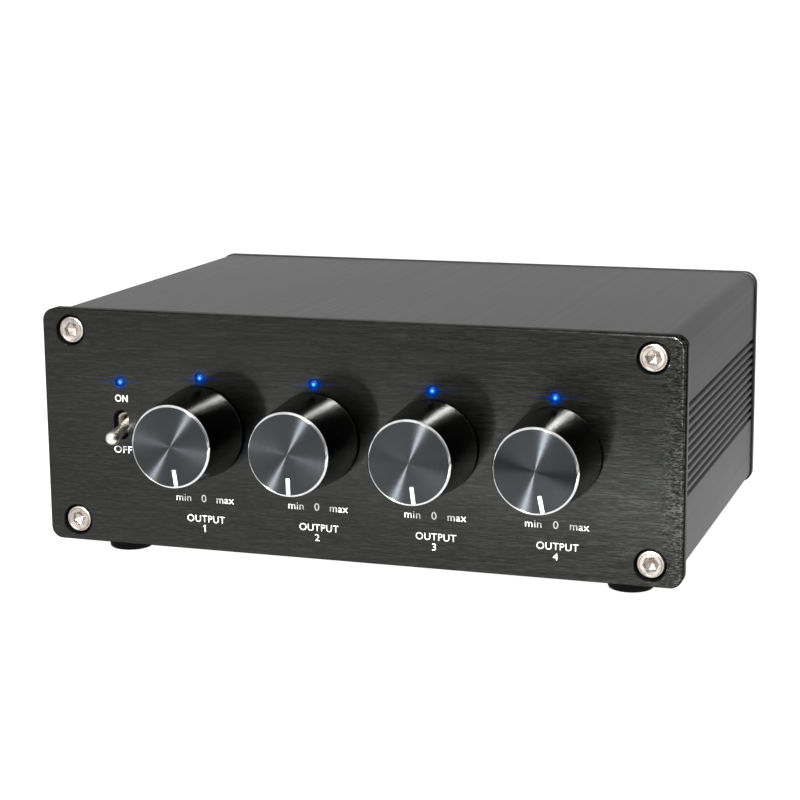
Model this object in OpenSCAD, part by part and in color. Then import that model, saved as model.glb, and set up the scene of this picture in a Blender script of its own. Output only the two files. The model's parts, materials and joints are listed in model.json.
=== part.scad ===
// Audio splitter box: four volume controls on the front, one input and four outputs on the back.
// +Z is up and the front looks along -Y. The origin is on the surface under the feet,
// at the middle of the whole width and depth.

/* [Case] */
// Width of the front panel
panel_w = 138.6; // [132:0.2:160]
// Height of the front panel
panel_h = 50.5; // [48:0.5:60]
// Thickness of the front panel
panel_t = 4; // [3:0.5:6]
// Corner radius of the front panel
panel_corner_r = 2.6; // [1:0.2:4]
// How far the front panel stands past the case on each side
side_overhang = 1.8; // [0.5:0.1:2.5]
// How far the front panel stands past the case at the top and at the bottom
top_overhang = 0.2; // [0:0.1:1]
// Length of the case extrusion
case_len = 88.5; // [84:0.5:120]
// Wall of the case extrusion
case_wall = 2.2; // [1.8:0.1:3]
// Outer corner radius of the case extrusion
case_corner_r = 3; // [2.4:0.2:4]
// Thickness of the rear panel
rear_panel_t = 2; // [1.5:0.5:4]
// How far the rear panel stands past the case on each side
rear_overhang = 0.4; // [0:0.1:1]

/* [Side grooves] */
// Grooves along each side of the case
groove_count = 11; // [3:1:13]
// Distance from one groove to the next
groove_pitch = 1.86; // [1.4:0.02:2.2]
// Width of a groove
groove_w = 0.8; // [0.4:0.1:1]
// Depth of a groove
groove_depth = 0.8; // [0.3:0.1:1]

/* [Panel screws] */
// Distance of a screw from the side edge of the front panel
screw_inset_x = 6.5; // [6.2:0.1:7]
// Distance of a screw from the top or bottom edge of the front panel
screw_inset_z = 4.5; // [4.2:0.1:6]
// Shank of a panel screw
screw_d = 3; // [2.5:0.1:3]
// Length of a panel screw under its head
screw_len = 12; // [8:1:16]
// Head of a panel screw
screw_head_d = 5.7; // [5:0.1:6]
// Height of a screw head
screw_head_h = 1.7; // [1.2:0.1:2]
// Rounding of a screw head's edge
screw_round = 0.9; // [0.3:0.1:1.1]
// Across the flats of the socket in a screw head
screw_socket_af = 2.7; // [1.5:0.1:3]
// Depth of the socket in a screw head
screw_socket_depth = 1.1; // [0.6:0.1:1.2]
// Counterbore for a screw head in the front panel
screw_recess_d = 6.7; // [6.2:0.1:7]
// Depth of that counterbore
screw_recess_depth = 2.2; // [1.8:0.1:2.4]
// Wall around a screw channel in the case
screw_boss_wall = 1.4; // [1:0.1:1.6]

/* [Feet] */
// Height of the front panel above the surface
foot_drop = 4; // [3:0.5:8]
// Diameter of a foot
foot_d = 9.5; // [8:0.5:12]
// Rounding of a foot's lower edge
foot_round = 0.6; // [0.5:0.1:2]
// Distance of a foot from the side edge of the front panel
foot_x = 13; // [11:0.5:29]
// Distance of a foot from the front or back face of the box
foot_y = 12.6; // [10:0.1:25]

/* [Controls] */
// Distance from one control to the next
control_pitch = 25.5; // [22:0.5:26]
// Middle of the row of controls, from the middle of the panel
control_x = 5.15; // [0:0.05:6]
// Height of the control axis above the lower edge of the front panel
control_z = 25.75; // [24:0.25:28]
// Distance from the front panel to the face of a knob
knob_reach = 15.5; // [14:0.5:24]
// Gap between a knob and the front panel
knob_gap = 0.6; // [0.5:0.1:1.5]
// Diameter of a knob at its base
knob_base_d = 19.4; // [18:0.2:21]
// Diameter of a knob at the outer edge of its rim
knob_rim_d = 17.4; // [16:0.2:18]
// Width of the cut rim around a knob's face
knob_rim = 0.4; // [0.3:0.1:1]
// Hollow in the base of a knob
knob_hollow_d = 14; // [13:0.2:15]
// Depth of that hollow
knob_hollow_depth = 3.6; // [3.4:0.1:5]
// Thickness of a knob's face over its core
knob_face_t = 2; // [1.5:0.1:3]
// Diameter of the core that grips the shaft
core_d = 10; // [9:0.2:11]
// Web of the core in front of the shaft's end
core_web = 0.6; // [0.4:0.1:1]
// Width of a pointer
pointer_w = 0.8; // [0.4:0.1:1.2]
// Length of a pointer
pointer_len = 3.4; // [2:0.1:5]
// Gap between a pointer and the cut rim
pointer_gap = 0.2; // [0.1:0.1:1]
// Depth of the groove that a pointer fills
pointer_depth = 0.3; // [0.2:0.1:0.6]
// Turn of each pointer from straight down, towards the right
pointer_turn = [8, 1, 7, 11];

/* [Potentiometers] */
// Diameter of a control shaft
shaft_d = 6; // [4:0.5:6]
// Running clearance around a shaft
shaft_clear = 0.05; // [0.02:0.01:0.1]
// Thread diameter of a bushing
bushing_d = 7.6; // [7.4:0.1:9]
// How far a bushing stands out of the front panel
bushing_reach = 3.1; // [2.8:0.1:3.2]
// Across the flats of a bushing nut
nut_af = 10.4; // [10:0.1:11]
// Thickness of a bushing nut
nut_t = 2; // [1.5:0.1:2.2]
// Diameter of the washer under a nut
washer_d = 12; // [11.8:0.1:12.8]
// Thickness of that washer
washer_t = 0.4; // [0.2:0.1:0.4]
// Diameter of a potentiometer's can
pot_d = 16.5; // [14:0.5:18]
// Depth of that can
pot_depth = 11; // [8:0.5:14]
// Thickness of the can behind the shaft's end
pot_back_t = 3; // [2:0.5:5]
// Distance from one leg of a potentiometer to the next
pot_leg_pitch = 5; // [3:0.5:6]
// Width of the legs of a potentiometer or a switch
leg_w = 1; // [0.6:0.1:1.5]
// Thickness of those legs
leg_t = 0.6; // [0.4:0.1:0.8]
// Thickness of a potentiometer's mounting plate
pot_plate_t = 1.2; // [0.8:0.1:2]
// Free play between parts that are pushed into one another
push_clear = 0.05; // [0.02:0.01:0.1]

/* [Power switch] */
// Distance of the switch from the left edge of the front panel
switch_x = 17.8; // [16.5:0.1:18]
// Height of the switch above the lower edge of the front panel
switch_z = 26.15; // [24:0.05:28]
// Width of the slot for the lever
slot_w = 3.6; // [3:0.1:4]
// Height of the slot for the lever
slot_h = 6.3; // [5.5:0.1:7]
// Thread diameter of the switch's bushing
switch_bushing_d = 5; // [4.8:0.1:5.4]
// Wall of the switch's bushing
switch_bushing_wall = 0.7; // [0.4:0.1:0.7]
// Length of the switch's bushing
switch_bushing_len = 5; // [4.5:0.1:6]
// How far the bushing enters the panel from behind
switch_bushing_seat = 1.8; // [1:0.1:2]
// Diameter of the lever where it leaves the bushing
lever_d = 1.5; // [1:0.1:1.5]
// Diameter of the lever's tip
lever_tip_d = 2.5; // [1.8:0.1:2.6]
// Distance from the lever's pivot to the middle of its tip
lever_len = 10.4; // [9:0.1:14]
// Distance from the lever's pivot to the start of its taper
lever_straight = 4.5; // [4:0.1:7]
// Diameter of the lever just behind its tip
lever_neck_d = 2.1; // [1.5:0.1:2.2]
// Ball at the lever's pivot
lever_ball_d = 3; // [2.6:0.1:3.1]
// Gap between that ball and the switch housing
lever_ball_gap = 0.2; // [0.1:0.1:0.5]
// Tilt of the lever below the level when the switch is off
lever_tilt = 11.5; // [6:0.5:12]
// Width of the switch housing
switch_body_w = 5.2; // [5:0.1:8]
// Height of the switch housing
switch_body_h = 8.2; // [7:0.1:10]
// Depth of the switch housing
switch_body_depth = 9; // [7:0.5:12]
// Distance from one pin of the switch to the next
switch_pin_pitch = 2.7; // [2:0.1:3]

/* [Lamps] */
// Diameter of a lamp's lens
lamp_d = 1.9; // [1.5:0.1:3]
// Rounding of a lens at its front
lens_round = 0.5; // [0.1:0.1:0.7]
// Clearance around a lens in the panel
lamp_clear = 0.05; // [0.02:0.01:0.1]
// Height of the output lamps above the lower edge of the front panel
lamp_z = 37.15; // [36.5:0.05:40]
// Height of the power lamp above the lower edge of the front panel
power_lamp_z = 35.35; // [34:0.05:40]
// Diameter of the collar behind the panel
lamp_collar_d = 3.2; // [3:0.1:4]
// Depth of that collar
lamp_collar_depth = 3; // [2:0.1:4]
// Thickness of a lamp's leads
lead_t = 0.5; // [0.4:0.1:0.8]
// Distance between a lamp's two leads
lead_gap = 1.3; // [1.2:0.1:2]
// Distance from the part below a lamp to the leads that pass behind it
lead_room = 1; // [0.5:0.1:3]

/* [Circuit board] */
// Thickness of the board
board_t = 1.6; // [1.2:0.1:2]
// Height of the board's upper face above the lower edge of the front panel
board_z = 13; // [11:0.5:13.5]
// Gap between the board and the panels
board_end_gap = 1; // [0.5:0.1:3]
// Free play of the board in its slots
board_clear = 0.1; // [0.05:0.05:0.3]
// Depth of the slots that hold the board
board_slot_depth = 1.8; // [1.2:0.1:3]
// Thickness of the ribs beside a slot
rib_t = 1.2; // [1:0.1:2]
// Width of a chip
chip_w = 9.8; // [8:0.1:10]
// Length of a chip
chip_len = 6.4; // [6:0.1:8]
// Height of a chip in its socket
chip_h = 3.3; // [2.5:0.1:4]
// Width of a chip's socket
chip_socket_w = 10.2; // [10:0.1:12]
// Length of a chip's socket
chip_socket_len = 10; // [8:0.1:12]
// Height of a chip's socket
chip_socket_h = 4.2; // [3:0.1:5]
// Diameter of a coupling capacitor
small_cap_d = 6.3; // [5:0.1:8]
// Height of a coupling capacitor
small_cap_h = 11; // [7:0.5:16]
// Distance between the two coupling capacitors of an output
small_cap_pitch = 11; // [9:0.5:13]
// Distance from the chips back to the coupling capacitors
small_cap_y = 13.5; // [10:0.5:16]
// Diameter of a supply capacitor
large_cap_d = 10; // [8:0.5:12.5]
// Height of a supply capacitor
large_cap_h = 16; // [12:0.5:24]
// Distance from the first chip to the row of the power supply
supply_x = 18.9; // [17:0.1:20]
// Distance from one part of the power supply to the next
supply_pitch = 14; // [13:0.5:14]
// Width of the voltage regulator
regulator_w = 10; // [8:0.5:12]
// Thickness of the voltage regulator
regulator_t = 4.4; // [3:0.1:5]
// Height of the voltage regulator's body
regulator_h = 9; // [7:0.5:12]
// Height of its cooling tab
regulator_tab_h = 15.5; // [12:0.5:18]
// Thickness of its cooling tab
regulator_tab_t = 1.3; // [0.8:0.1:1.6]
// Height of its body above the board
regulator_stand = 4; // [2:0.5:6]
// Distance from one leg of the regulator to the next
regulator_leg_pitch = 2.5; // [2:0.1:3]
// Diameter of a resistor
resistor_d = 2.2; // [1.6:0.1:3]
// Length of a resistor
resistor_len = 6; // [4:0.5:8]
// Height of a resistor's axis above the board
resistor_stand = 2; // [1.6:0.1:3]
// Distance from one resistor to the next
resistor_pitch = 4; // [3.4:0.1:6]
// Distance from the chips forward to the resistors
resistor_y = 12; // [10:0.5:14]

/* [Phono jacks] */
// Distance from one pair of jacks to the next
jack_pitch = 20; // [16:0.5:20]
// Middle of the row of jacks, from the middle of the panel
jack_x = 10; // [8:0.5:12]
// Pairs of jacks
jack_columns = 5; // [3:1:5]
// Height of a lower jack above the board
jack_rise = 7; // [6.5:0.5:9]
// Distance between the two jacks of a pair
jack_spacing = 14; // [13:0.5:16]
// Outer diameter of a jack's sleeve
sleeve_d = 8.3; // [8:0.05:8.4]
// Wall of a sleeve
sleeve_wall = 0.7; // [0.4:0.1:0.9]
// How far a sleeve stands out of the rear panel
sleeve_reach = 8.5; // [7:0.5:12]
// How deep a sleeve is held in its housing
sleeve_seat = 4; // [3:0.5:6]
// Hole for the centre pin of a plug
socket_d = 3.3; // [3.2:0.1:3.5]
// Wall of the spring contact around that hole
contact_wall = 0.4; // [0.2:0.1:0.5]
// How far the contact stays behind the face of its insert
contact_set = 0.3; // [0.2:0.1:1]
// How far the insert stays behind the end of its sleeve
insert_set = 0.2; // [0.1:0.1:1]
// Thickness of the insert behind the contact
insert_floor = 1; // [0.6:0.1:2]
// Shoulder of a sleeve that rests on its housing
sleeve_shoulder = 0.2; // [0.1:0.05:0.2]
// Collar of a jack housing in the rear panel
jack_collar_d = 9.4; // [9.2:0.1:9.6]
// Gap between a collar and the hole in the rear panel
collar_clear = 0.1; // [0.05:0.05:0.2]
// How far a collar stands out of the rear panel
collar_proud = 0.4; // [0.2:0.1:1]
// Width of a jack housing
jack_body_w = 11; // [10:0.5:13]
// Depth of a jack housing
jack_body_depth = 10; // [8:0.5:14]
// Diameter of the screw between two jacks
jack_screw_d = 2.2; // [1.8:0.1:2.5]
// Length of that screw under its head
jack_screw_len = 7; // [5:0.5:9]
// Head of that screw
jack_screw_head_d = 3.6; // [3:0.1:3.8]
// Height of that head
jack_screw_head_h = 1.2; // [0.8:0.1:1.6]
// Rounding of that head's edge
jack_screw_round = 0.6; // [0.2:0.1:0.7]

/* [Power inlet] */
// Distance of the inlet from the left edge of the front panel
inlet_x = 17; // [15:0.5:19]
// Height of the inlet above the board
inlet_rise = 6.5; // [6:0.5:9]
// Hole for the power plug
inlet_d = 6.4; // [5.6:0.1:6.6]
// Depth of that hole
inlet_depth = 9.5; // [8:0.5:11]
// Centre pin of the inlet
inlet_pin_d = 2; // [1.6:0.1:2.5]
// How far the centre pin stays behind the mouth of the inlet
inlet_pin_set = 0.8; // [0.4:0.1:2]
// How deep the centre pin is held in the housing
inlet_pin_root = 2; // [1:0.1:2.5]
// Width of the inlet's housing
inlet_body_w = 9.6; // [9:0.2:12]
// Height of the inlet's housing
inlet_body_h = 11.5; // [11:0.5:14]
// Depth of the inlet's housing
inlet_body_depth = 14; // [12:0.5:18]

/* [Hidden] */
$fn = 64;
// Anything that is cut away runs this far past the surface it opens
cut = 1;
// The box itself, in a frame whose y = 0 is the front face and whose z = 0 is the surface below
case_w = panel_w - 2 * side_overhang;
case_h = panel_h - 2 * top_overhang;
rear_panel_w = case_w + 2 * rear_overhang;
rear_panel_h = case_h + 2 * min(rear_overhang, top_overhang);
mid_z = foot_drop + panel_h / 2;
case_low_z = foot_drop + top_overhang;
case_back_y = panel_t + case_len;
back_y = case_back_y + rear_panel_t;
total_depth = knob_reach + back_y + sleeve_reach;
front_y = knob_reach - total_depth / 2;
inner_w = case_w - 2 * case_wall;
inner_h = case_h - 2 * case_wall;
inner_corner_r = max(case_corner_r - case_wall, 0.4);
// Screws in the four corners
screw_x = panel_w / 2 - screw_inset_x;
screw_z = panel_h / 2 - screw_inset_z;
// Feet
foot_place_x = panel_w / 2 - foot_x;
// Controls
control_count = 4;
control_axis_z = foot_drop + control_z;
knob_face_y = -knob_reach;
hollow_floor_y = -knob_gap - knob_hollow_depth;
core_floor_y = knob_face_t - knob_reach;
shaft_end_y = core_floor_y + core_web;
pot_back_y = panel_t + pot_plate_t + pot_depth;
shaft_back_y = pot_back_y - pot_back_t;
pointer_end = knob_rim_d / 2 - knob_rim - pointer_gap;
// Switch
switch_place_x = switch_x - panel_w / 2;
switch_axis_z = foot_drop + switch_z;
bushing_front_y = panel_t - switch_bushing_seat;
bushing_back_y = bushing_front_y + switch_bushing_len;
pivot_y = bushing_back_y - lever_ball_d / 2 - lever_ball_gap;
switch_back_y = bushing_back_y + switch_body_depth;
// Board and jacks
board_top_z = foot_drop + board_z;
board_w = inner_w - 2 * board_clear;
lamp_axis_z = foot_drop + lamp_z;
power_lamp_axis_z = foot_drop + power_lamp_z;
chip_y = panel_t + case_len / 2;
jack_low_z = board_top_z + jack_rise;
jack_mid_z = jack_low_z + jack_spacing / 2;
sleeve_back_y = case_back_y - sleeve_seat;
sleeve_end_y = back_y + sleeve_reach;
sleeve_seat_d = sleeve_d - 2 * sleeve_shoulder;
collar_end_y = back_y + collar_proud;
insert_end_y = sleeve_end_y - insert_set;
inlet_place_x = inlet_x - panel_w / 2;
inlet_z = board_top_z + inlet_rise;
inlet_floor_y = collar_end_y - inlet_depth;
inlet_root_y = inlet_floor_y - inlet_pin_root;
// Colours
black_metal = [0.16, 0.16, 0.17];
case_grey = [0.25, 0.25, 0.26];
silver = [0.78, 0.77, 0.74];
black_rubber = [0.06, 0.06, 0.06];
knob_black = [0.1, 0.1, 0.11];
lamp_blue = [0.1, 0.4, 1];
brass_gold = [0.8, 0.66, 0.35];
board_green = [0.05, 0.3, 0.16];
plastic_black = [0.09, 0.09, 0.1];
screw_black = [0.2, 0.2, 0.21];
capacitor_blue = [0.12, 0.16, 0.3];
resistor_blue = [0.35, 0.55, 0.7];

function control_place_x(i) = control_x + (i - (control_count + 1) / 2) * control_pitch;
function jack_place_x(c) = jack_x + (c - (jack_columns - 1) / 2) * jack_pitch;

// Points of the round edge of a turned shape, between its side at radius r and its end face at y.
// The end face looks along -y where out is -1, and along +y where it is 1.
function round_edge(r, y, round, out) =
    [for (a = [0:15:90]) [r - round + round * cos(a), y - out * round * (1 - sin(a))]];

// Places the box so that the origin is under the middle of its whole depth
module placed() {
    translate([0, front_y, 0]) children();
}

// A flat outline in x and z, drawn out along y
module along_y(y, depth) {
    translate([0, y + depth, 0]) rotate([90, 0, 0]) linear_extrude(height = depth) children();
}

// A round bar along y
module rod_y(d, y, len) {
    translate([0, y, 0]) rotate([-90, 0, 0]) cylinder(d = d, h = len);
}

// A turned shape about the y axis, from points of radius and y
module turned_y(points) {
    rotate([-90, 0, 0]) rotate_extrude() polygon(points);
}

module block(size, low) {
    translate(low) cube(size);
}

module rounded_rect(w, h, r) {
    square([w - 2 * r, h], center = true);
    square([w, h - 2 * r], center = true);
    for (x = [-1, 1], z = [-1, 1])
        translate([x * (w / 2 - r), z * (h / 2 - r)]) circle(r = r);
}

module at_screws() {
    for (x = [-1, 1], z = [-1, 1])
        translate([x * screw_x, 0, mid_z + z * screw_z]) children();
}

module at_control(i) {
    translate([control_place_x(i), 0, control_axis_z]) children();
}

module at_controls() {
    for (i = [1:control_count]) at_control(i) children();
}

module at_jacks(rows) {
    for (c = [0:jack_columns - 1], r = rows)
        translate([jack_place_x(c), 0, jack_low_z + r * jack_spacing]) children();
}

// Case

module slot_outline(w, h) {
    square([w, h - w], center = true);
    for (z = [-1, 1]) translate([0, z * (h - w) / 2]) circle(d = w);
}

module front_panel() {
    color(black_metal) placed() difference() {
        translate([0, 0, mid_z]) along_y(0, panel_t) rounded_rect(panel_w, panel_h, panel_corner_r);
        at_screws() {
            rod_y(screw_recess_d, -cut, screw_recess_depth + cut);
            rod_y(screw_d + 2 * push_clear, -cut, panel_t + 2 * cut);
        }
        at_controls() rod_y(bushing_d + 2 * push_clear, -cut, panel_t + 2 * cut);
        for (i = [1:control_count]) translate([control_place_x(i), 0, lamp_axis_z]) lamp_hole();
        translate([switch_place_x, 0, power_lamp_axis_z]) lamp_hole();
        at_switch() {
            along_y(-cut, panel_t + 2 * cut) slot_outline(slot_w, slot_h);
            rod_y(switch_bushing_d + 2 * push_clear, bushing_front_y, panel_t + cut);
        }
    }
}

module lamp_hole() {
    rod_y(lamp_d + 2 * lamp_clear, -cut, panel_t + 2 * cut);
}

// The slots for the board are between two ribs on each side wall
module board_ribs() {
    slot_h = board_t + 2 * board_clear;
    slot_mid = board_top_z - board_t / 2 - mid_z;
    for (side = [-1, 1], up = [-1, 1])
        translate([side * (inner_w / 2 - board_slot_depth / 2), slot_mid + up * (slot_h + rib_t) / 2])
            square([board_slot_depth + 2 * inner_corner_r, rib_t], center = true);
}

module case_profile() {
    difference() {
        union() {
            difference() {
                rounded_rect(case_w, case_h, case_corner_r);
                rounded_rect(inner_w, inner_h, inner_corner_r);
            }
            intersection() {
                rounded_rect(case_w - case_wall, case_h - case_wall, case_corner_r - case_wall / 2);
                union() {
                    board_ribs();
                    for (x = [-1, 1], z = [-1, 1]) screw_boss(x, z);
                }
            }
        }
        for (x = [-1, 1], z = [-1, 1])
            translate([x * screw_x, z * screw_z]) circle(d = screw_d + 2 * push_clear);
        for (side = [-1, 1], i = [0:groove_count - 1])
            translate([side * case_w / 2, (i - (groove_count - 1) / 2) * groove_pitch])
                square([2 * groove_depth, groove_w], center = true);
    }
}

// A corner post that joins the two walls around a screw channel
module screw_boss(x, z) {
    r = screw_d / 2 + screw_boss_wall;
    reach_x = case_w / 2 - screw_x + r;
    reach_z = case_h / 2 - screw_z + r;
    translate([x * (screw_x - r + reach_x / 2), z * (screw_z - r + reach_z / 2)])
        square([reach_x, reach_z], center = true);
}

module case_shell() {
    color(case_grey) placed() translate([0, 0, mid_z]) along_y(panel_t, case_len) case_profile();
}

module rear_panel() {
    color(case_grey) placed() difference() {
        translate([0, 0, mid_z]) along_y(case_back_y, rear_panel_t)
            rounded_rect(rear_panel_w, rear_panel_h, case_corner_r);
        at_screws() rear_hole(screw_d + 2 * push_clear);
        at_jacks([0, 1]) rear_hole(jack_collar_d + 2 * collar_clear);
        at_jacks([0.5]) rear_hole(jack_screw_d + 2 * push_clear);
        at_inlet() rear_hole(jack_collar_d + 2 * collar_clear);
    }
}

module rear_hole(d) {
    rod_y(d, case_back_y - cut, rear_panel_t + 2 * cut);
}

// A socket screw along +y, with the underside of its head at y = 0
module panel_screw() {
    head_r = screw_head_d / 2;
    difference() {
        turned_y([
            [0, screw_len], [screw_d / 2, screw_len], [screw_d / 2, 0], [head_r, 0],
            each round_edge(head_r, -screw_head_h, screw_round, -1), [0, -screw_head_h]
        ]);
        translate([0, -screw_head_h - cut, 0]) rotate([-90, 0, 0])
            cylinder(d = screw_socket_af / cos(30), h = screw_socket_depth + cut, $fn = 6);
    }
}

module front_screws() {
    color(silver) placed() at_screws() translate([0, screw_recess_depth, 0]) panel_screw();
}

module rear_screws() {
    color(silver) placed() at_screws() translate([0, back_y, 0]) rotate([0, 0, 180]) panel_screw();
}

module foot(x, y) {
    h = case_low_z;
    r = foot_d / 2;
    color(black_rubber) placed() translate([x, y, 0]) rotate_extrude() {
        square([r - foot_round, h]);
        translate([0, foot_round]) square([r, h - foot_round]);
        intersection() {
            translate([r - foot_round, foot_round]) circle(r = foot_round);
            square([r, h]);
        }
    }
}

module foot_front_left() { foot(-foot_place_x, foot_y); }
module foot_front_right() { foot(foot_place_x, foot_y); }
module foot_rear_left() { foot(-foot_place_x, back_y - foot_y); }
module foot_rear_right() { foot(foot_place_x, back_y - foot_y); }

// Controls

module pointer_bar(i, floor_y) {
    rotate([0, -pointer_turn[i - 1], 0])
        block([pointer_w, floor_y - knob_face_y, pointer_len],
            [-pointer_w / 2, knob_face_y, -pointer_end]);
}

module knob_shell(i) {
    base_r = knob_base_d / 2;
    rim_r = knob_rim_d / 2;
    hollow_r = knob_hollow_d / 2;
    core_r = core_d / 2 + push_clear;
    color(knob_black) placed() at_control(i) difference() {
        turned_y([
            [0, knob_face_y], [rim_r - knob_rim, knob_face_y], [rim_r, knob_face_y + knob_rim],
            [base_r, -knob_gap], [hollow_r, -knob_gap], [hollow_r, hollow_floor_y],
            [core_r, hollow_floor_y], [core_r, core_floor_y], [0, core_floor_y]
        ]);
        pointer_bar(i, knob_face_y + pointer_depth);
    }
}

module knob_core(i) {
    outer = core_d / 2;
    inner = shaft_d / 2 + push_clear;
    web_y = shaft_end_y - push_clear;
    color(plastic_black) placed() at_control(i) turned_y([
        [0, core_floor_y], [outer, core_floor_y], [outer, hollow_floor_y],
        [inner, hollow_floor_y], [inner, web_y], [0, web_y]
    ]);
}

module knob_pointer(i) {
    color("white") placed() at_control(i) pointer_bar(i, knob_face_y + pointer_depth);
}

module pot_shaft(i) {
    color(silver) placed() at_control(i) rod_y(shaft_d, shaft_end_y, shaft_back_y - shaft_end_y);
}

module pot_body(i) {
    bore = shaft_d + 2 * shaft_clear;
    leg_y = pot_back_y - pot_depth / 2;
    leg_len = control_axis_z - board_top_z;
    color(silver) placed() at_control(i) difference() {
        union() {
            rod_y(bushing_d, -bushing_reach, bushing_reach + panel_t + pot_plate_t);
            rod_y(pot_d, panel_t, pot_plate_t + pot_depth);
            for (k = [-1:1])
                block([leg_w, leg_t, leg_len], [k * pot_leg_pitch - leg_w / 2, leg_y, -leg_len]);
        }
        rod_y(bore, -bushing_reach - cut, shaft_back_y + bushing_reach + cut + shaft_clear);
    }
}

module pot_nuts() {
    color(silver) placed() at_controls() translate([0, -washer_t - nut_t, 0]) difference() {
        rotate([-90, 0, 0]) cylinder(d = nut_af / cos(30), h = nut_t, $fn = 6);
        rod_y(bushing_d + 2 * push_clear, -cut, nut_t + 2 * cut);
    }
}

module pot_washers() {
    color(silver) placed() at_controls() translate([0, -washer_t, 0]) difference() {
        rod_y(washer_d, 0, washer_t);
        rod_y(bushing_d + 2 * push_clear, -cut, washer_t + 2 * cut);
    }
}

// Power switch

module at_switch() {
    translate([switch_place_x, 0, switch_axis_z]) children();
}

module switch_bushing() {
    bore = switch_bushing_d - 2 * switch_bushing_wall;
    color(silver) placed() at_switch() difference() {
        rod_y(switch_bushing_d, bushing_front_y, switch_bushing_len);
        rod_y(bore, bushing_front_y - cut, switch_bushing_len + 2 * cut);
    }
}

module switch_housing() {
    color(plastic_black) placed() at_switch()
        block([switch_body_w, switch_body_depth, switch_body_h],
            [-switch_body_w / 2, bushing_back_y, -switch_body_h / 2]);
}

module switch_pins() {
    drop = switch_axis_z - switch_body_h / 2 - board_top_z;
    middle_y = switch_back_y - switch_body_depth / 2;
    color(silver) placed() at_switch() for (k = [-1:1])
        block([leg_w, leg_t, drop],
            [-leg_w / 2, middle_y + k * switch_pin_pitch - leg_t / 2, -switch_body_h / 2 - drop]);
}

module switch_lever() {
    color(silver) placed() at_switch() translate([0, pivot_y, 0]) rotate([lever_tilt, 0, 0]) {
        sphere(d = lever_ball_d);
        turned_y([
            [0, 0], [lever_d / 2, 0], [lever_d / 2, -lever_straight],
            [lever_neck_d / 2, -lever_len], [0, -lever_len]
        ]);
        translate([0, -lever_len, 0]) sphere(d = lever_tip_d);
    }
}

// Lamps

module lamp(x, z) {
    lens_r = lamp_d / 2;
    collar_r = lamp_collar_d / 2;
    collar_y = panel_t + lamp_collar_depth;
    color(lamp_blue) placed() translate([x, 0, z]) turned_y([
        each round_edge(lens_r, 0, lens_round, -1), [0, 0], [0, collar_y],
        [collar_r, collar_y], [collar_r, panel_t], [lens_r, panel_t]
    ]);
}

module lamp_power() { lamp(switch_place_x, power_lamp_axis_z); }
module lamp_1() { lamp(control_place_x(1), lamp_axis_z); }
module lamp_2() { lamp(control_place_x(2), lamp_axis_z); }
module lamp_3() { lamp(control_place_x(3), lamp_axis_z); }
module lamp_4() { lamp(control_place_x(4), lamp_axis_z); }

// Two leads run back from a lamp, past the part below it that ends at part_y, and down to the board
module lead_pair(x, z, part_y) {
    start_y = panel_t + lamp_collar_depth;
    len = part_y + lead_room + lead_t - start_y;
    drop = z - board_top_z;
    for (side = [-1, 1]) translate([x + side * lead_gap / 2 - lead_t / 2, start_y, z - lead_t / 2]) {
        cube([lead_t, len, lead_t]);
        translate([0, len - lead_t, lead_t / 2 - drop]) cube([lead_t, lead_t, drop]);
    }
}

module lamp_leads() {
    color(silver) placed() {
        for (i = [1:control_count]) lead_pair(control_place_x(i), lamp_axis_z, pot_back_y);
        lead_pair(switch_place_x, power_lamp_axis_z, switch_back_y);
    }
}

// Circuit board and what stands on it

module main_board() {
    color(board_green) placed()
        block([board_w, case_len - 2 * board_end_gap, board_t],
            [-board_w / 2, panel_t + board_end_gap, board_top_z - board_t]);
}

module at_chips() {
    for (i = [1:control_count]) translate([control_place_x(i), chip_y, board_top_z]) children();
}

// A place in the row of the power supply, beside the chips
module at_supply(k) {
    translate([control_place_x(1) - supply_x, chip_y + k * supply_pitch, board_top_z]) children();
}

module chip_sockets() {
    color(plastic_black) placed() at_chips()
        block([chip_socket_w, chip_socket_len, chip_socket_h],
            [-chip_socket_w / 2, -chip_socket_len / 2, 0]);
}

module amplifier_chips() {
    color(plastic_black) placed() at_chips()
        block([chip_w, chip_len, chip_h], [-chip_w / 2, -chip_len / 2, chip_socket_h]);
}

module coupling_capacitors() {
    color(capacitor_blue) placed() at_chips() for (side = [-1, 1])
        translate([side * small_cap_pitch / 2, small_cap_y, 0]) cylinder(d = small_cap_d, h = small_cap_h);
}

module supply_capacitors() {
    color(capacitor_blue) placed() for (k = [0, 1])
        at_supply(k) cylinder(d = large_cap_d, h = large_cap_h);
}

module voltage_regulator() {
    tab_y = regulator_t / 2 - regulator_tab_t;
    color(plastic_black) placed() at_supply(-1) {
        block([regulator_w, regulator_t, regulator_h],
            [-regulator_w / 2, -regulator_t / 2, regulator_stand]);
        block([regulator_w, regulator_tab_t, regulator_tab_h],
            [-regulator_w / 2, tab_y, regulator_stand]);
        for (k = [-1:1])
            block([leg_t, leg_t, regulator_stand + leg_t],
                [k * regulator_leg_pitch - leg_t / 2, -leg_t / 2, 0]);
    }
}

// A resistor lies across its two legs, which stand on the board
module resistors() {
    leg_y = resistor_len / 2 - leg_t;
    color(resistor_blue) placed() at_chips() for (k = [-1:1])
        translate([k * resistor_pitch, -resistor_y, 0]) {
            translate([0, 0, resistor_stand]) rod_y(resistor_d, -resistor_len / 2, resistor_len);
            for (side = [-1, 1])
                block([leg_t, leg_t, resistor_stand], [-leg_t / 2, side * leg_y - leg_t / 2, 0]);
        }
}

// Phono jacks on the back

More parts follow.
